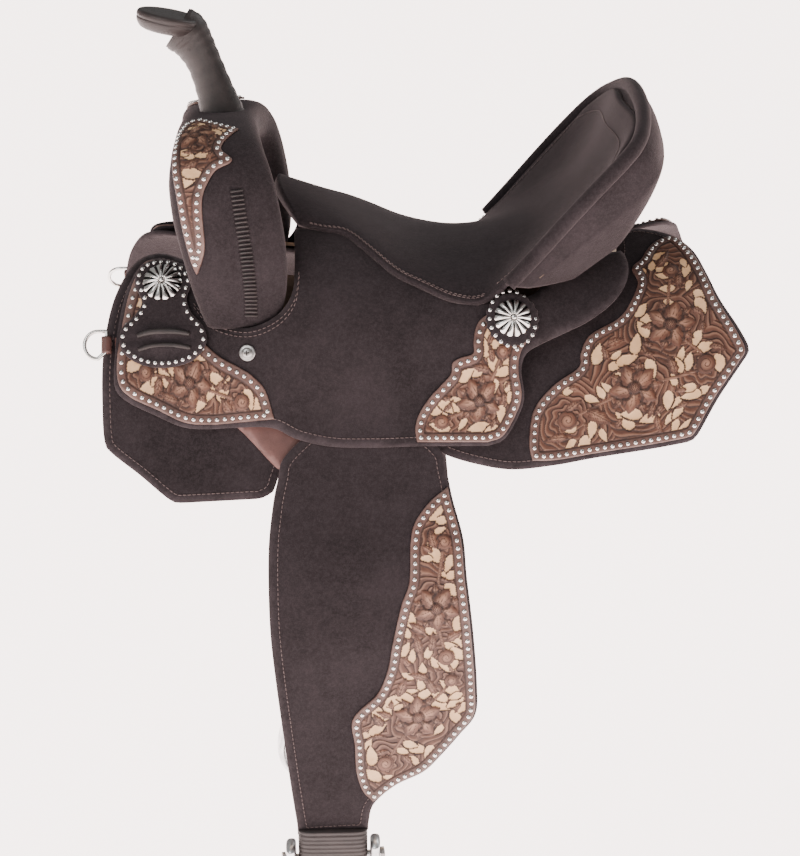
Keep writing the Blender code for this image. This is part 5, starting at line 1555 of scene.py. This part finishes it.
def add_fenders():
    line = smooth_line(FENDER_PATTERN)
    filled = fill_pattern(line, 0.0055)
    seam = inset_line(line, 0.0085, 0.0046)
    seam = seam[seam[:, 1] > 0.222]
    start = int(np.argmax(np.linalg.norm(np.roll(seam, 1, axis=0) - seam, axis=1)))
    seam = np.roll(seam, -start, axis=0)
    for word, side in SIDES:
        bend = [tuple(on_fender(-0.10, t, FENDER_N, side)) for t in (LIFT_S - 0.006, LIFT_S + 0.024)]
        piece = cut_piece(f"suede_fender_{word}", filled, line, FENDER_N, FENDER_N + FENDER_T, on_fender,
                          side, SUEDE, None,
                          replaces=(f"fender_{word}", f"stirrup_hanger_{word}"), slot="suede")
        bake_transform(piece)
        thread = scatter(f"fender_stitch_{word}", STITCH,
                         frames_on(on_fender, seam, FENDER_N + FENDER_T, side, False),
                         THREAD, None, slot="smooth_leather")
        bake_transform(thread)


add_fenders()
print("fenders")

# %% [markdown]
# ## Stirrups, dees and the rest of the tree
# The stirrup is cast aluminium, bell shaped with a broad tread, and hangs from a leather neck wound with
# lace. The collar dees are silver wire in a leather loop. The hard parts that the frame already has in
# their true shape keep their meshes and take finished materials.

# %% Stirrups and dees
FRAME_TOP, FRAME_BOTTOM, FRAME_HIGH, TREAD_DEEP = 0.094, 0.136, 0.150, 0.052


def add_stirrup(word):
    low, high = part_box(f"stirrup_frame_{word}")
    bolt_low, bolt_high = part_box(f"stirrup_bolt_{word}")
    at = np.array(((low.x + high.x) / 2, (low.y + high.y) / 2, (bolt_low.z + bolt_high.z) / 2))
    w0, w1, bar = FRAME_TOP / 2, FRAME_BOTTOM / 2, 0.010
    half = ((-w0 + bar / 2, 0.0145, 0.0135, bar), (-w0 + bar / 2, -0.012, 0.0130, bar),
            (-w0 - 0.001, -0.040, 0.0135, bar), (-w1 + 0.011, -0.085, 0.0180, bar),
            (-w1 + 0.0055, -FRAME_HIGH + 0.036, 0.0225, bar),
            (-w1 + 0.014, -FRAME_HIGH + 0.014, 0.0250, bar),
            (-w1 + 0.034, -FRAME_HIGH + 0.0055, TREAD_DEEP / 2, bar),
            (0.0, -FRAME_HIGH + 0.0052, TREAD_DEEP / 2, bar))
    rows = spline_rows(half + tuple((-x, z, d, b) for x, z, d, b in reversed(half[:-1])), 7)
    run = np.gradient(rows[:, :2], axis=0)
    run /= np.linalg.norm(run, axis=1)[:, None]
    turn = 2 * np.pi * np.arange(28) / 28
    c = np.sign(np.cos(turn)) * np.abs(np.cos(turn)) ** 0.55
    s = np.sign(np.sin(turn)) * np.abs(np.sin(turn)) ** 0.75
    rings = [at + np.stack([x - rz * s * b / 2, d * c, z + rx * s * b / 2], 1)
             for (x, z, d, b), (rx, rz) in zip(rows, run)]
    points, faces = loft(rings)
    points = np.array(points)
    points[:, 2] += TILT * (points[:, 0] - at[0])
    mesh_piece(f"cast_stirrup_{word}", points, faces, ALUMINIUM, f"stirrup_{word}",
               replaces=(f"stirrup_frame_{word}",),
               slot="aluminium")
    # grooved pad on the tread
    pads = [at + np.array((x, 0.0, -FRAME_HIGH + 0.0105 + TILT * x))
            for x in np.linspace(-0.034, 0.034, 12)]
    bars = []
    for p in pads:
        bars.append(loft(tube_rings([p + np.array((0.0, y, 0.0)) for y in np.linspace(-0.0235, 0.0235, 5)],
                                    0.0021, 10)))
    points, faces, count = [], [], 0
    for shape, shape_faces in bars:
        points.append(shape)
        faces += [tuple(v + count for v in f) for f in shape_faces]
        count += len(shape)
    mesh_piece(f"tread_grip_{word}", np.vstack(points), faces, DARK_HIDE, f"stirrup_{word}",
               slot="smooth_leather")
    # neck wound with lace
    low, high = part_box(f"stirrup_neck_{word}")
    centre = np.array(((low.x + high.x) / 2, (low.y + high.y) / 2, 0.0))
    heights = np.linspace(low.z, high.z, 46)
    rings = []
    for z in heights:
        wind = 0.0011 * abs(math.sin((z - low.z) / 0.0046 * math.pi)) ** 0.7
        bottom = math.sqrt(max(1 - max(1 - (z - low.z) / 0.010, 0.0) ** 2, 0.05))
        wide, deep = 0.0335 * (0.9 + 0.1 * bottom) + wind, ((high.y - low.y) / 2 - 0.002) * bottom + wind
        rings.append(centre + np.stack([wide * np.sign(np.cos(turn)) * np.abs(np.cos(turn)) ** 0.35,
                                        deep * np.sign(np.sin(turn)) * np.abs(np.sin(turn)) ** 0.6,
                                        np.full(len(turn), z)], 1))
    points, faces = loft(rings)
    mesh_piece(f"wound_neck_{word}", points, faces, DARK_HIDE, f"neck_{word}",
               replaces=(f"stirrup_neck_{word}",),
               slot="smooth_leather")


def add_dee(word, side):
    x0, s0, n0 = -0.3385, 0.137, 0.0065
    turn = math.pi / 2 + np.pi * np.arange(0, 25) / 24
    loop = np.vstack([[(0.0, -0.0135), (0.0, -0.006), (0.0, 0.0), (0.0, 0.006)],
                      np.stack([-0.0085 + 0.0125 * np.cos(turn), 0.0135 * np.sin(turn)], 1)])
    loop = even_steps(loop, 0.0016)
    at, turns = frames_on(on_side, np.array([(x0 - 0.003, s0), (x0, s0), (x0 + 0.003, s0)]), n0, side,
                          False)
    along, out = turns[1][:, 0], turns[1][:, 2]
    down = np.cross(out, along) * (1 if np.cross(out, along)[2] < 0 else -1)
    path = at[1] + loop[:, :1] * along + loop[:, 1:] * down
    points, faces = loft(tube_rings(path, 0.0019, 14, closed=True), closed=True)
    mesh_piece(f"silver_dee_{word}", points, faces, SILVER, f"dee_{word}", replaces=(f"collar_dee_{word}",),
               slot="silver")
    chape = [at[1] + down * t for t in np.linspace(-0.008, 0.008, 9)]
    points, faces = loft(tube_rings(chape, 0.0049, 18))
    mesh_piece(f"leather_chape_{word}", points, faces, BROWN_HIDE, "tree",
               replaces=(f"collar_chape_{word}",),
               slot="smooth_leather")


RIG_PATTERN = [
    (-0.330, 0.130, 1), (-0.331, 0.160, 1), (-0.250, 0.192), (-0.220, 0.208), (-0.1845, 0.2490),
    (-0.1760, 0.2520), (-0.160, 0.238), (-0.150, 0.212, 1), (-0.150, 0.150, 1), (-0.240, 0.150),
    (-0.290, 0.128, 1)]


def add_rigging():
    line = smooth_line(RIG_PATTERN)
    filled = fill_pattern(line, 0.006)
    for word, side in SIDES:
        cut_piece(f"rigging_panel_{word}", filled, line, 0.0003, 0.0033, on_side, side, BROWN_HIDE, "tree",
                  replaces=(f"rigging_leather_{word}",), slot="smooth_leather")


for word, side in SIDES:
    add_stirrup(word)
    add_dee(word, side)
add_rigging()
print("stirrups, dees and rigging")

# %% Finishes for the hard parts
FINISH = {"suede": SUEDE, "smooth_leather": DARK_HIDE, "tooled_leather": CARVED, "fleece": WOOL,
          "silver": SILVER,
          "steel": STEEL, "aluminium": ALUMINIUM, "wood": WOOD}

EASED_EDGE = 0.0004


def finish_hard_parts():
    slots = {row["node"]: row["material_slot"] for row in frame["record"]["subparts"]}
    kept = [name for name, node in frame["nodes"].items() if not node.hide_render]
    for name in kept:
        node = frame["nodes"][name]
        node.data.materials.clear()
        node.data.materials.append(FINISH[slots[name]])
        bevel = node.modifiers.new("eased edges", "BEVEL")
        bevel.width = EASED_EDGE
        bevel.segments = 2
        bevel.limit_method = "ANGLE"
        bevel.angle_limit = math.radians(40.0)
    return kept


print("kept as built:", ", ".join(finish_hard_parts()))
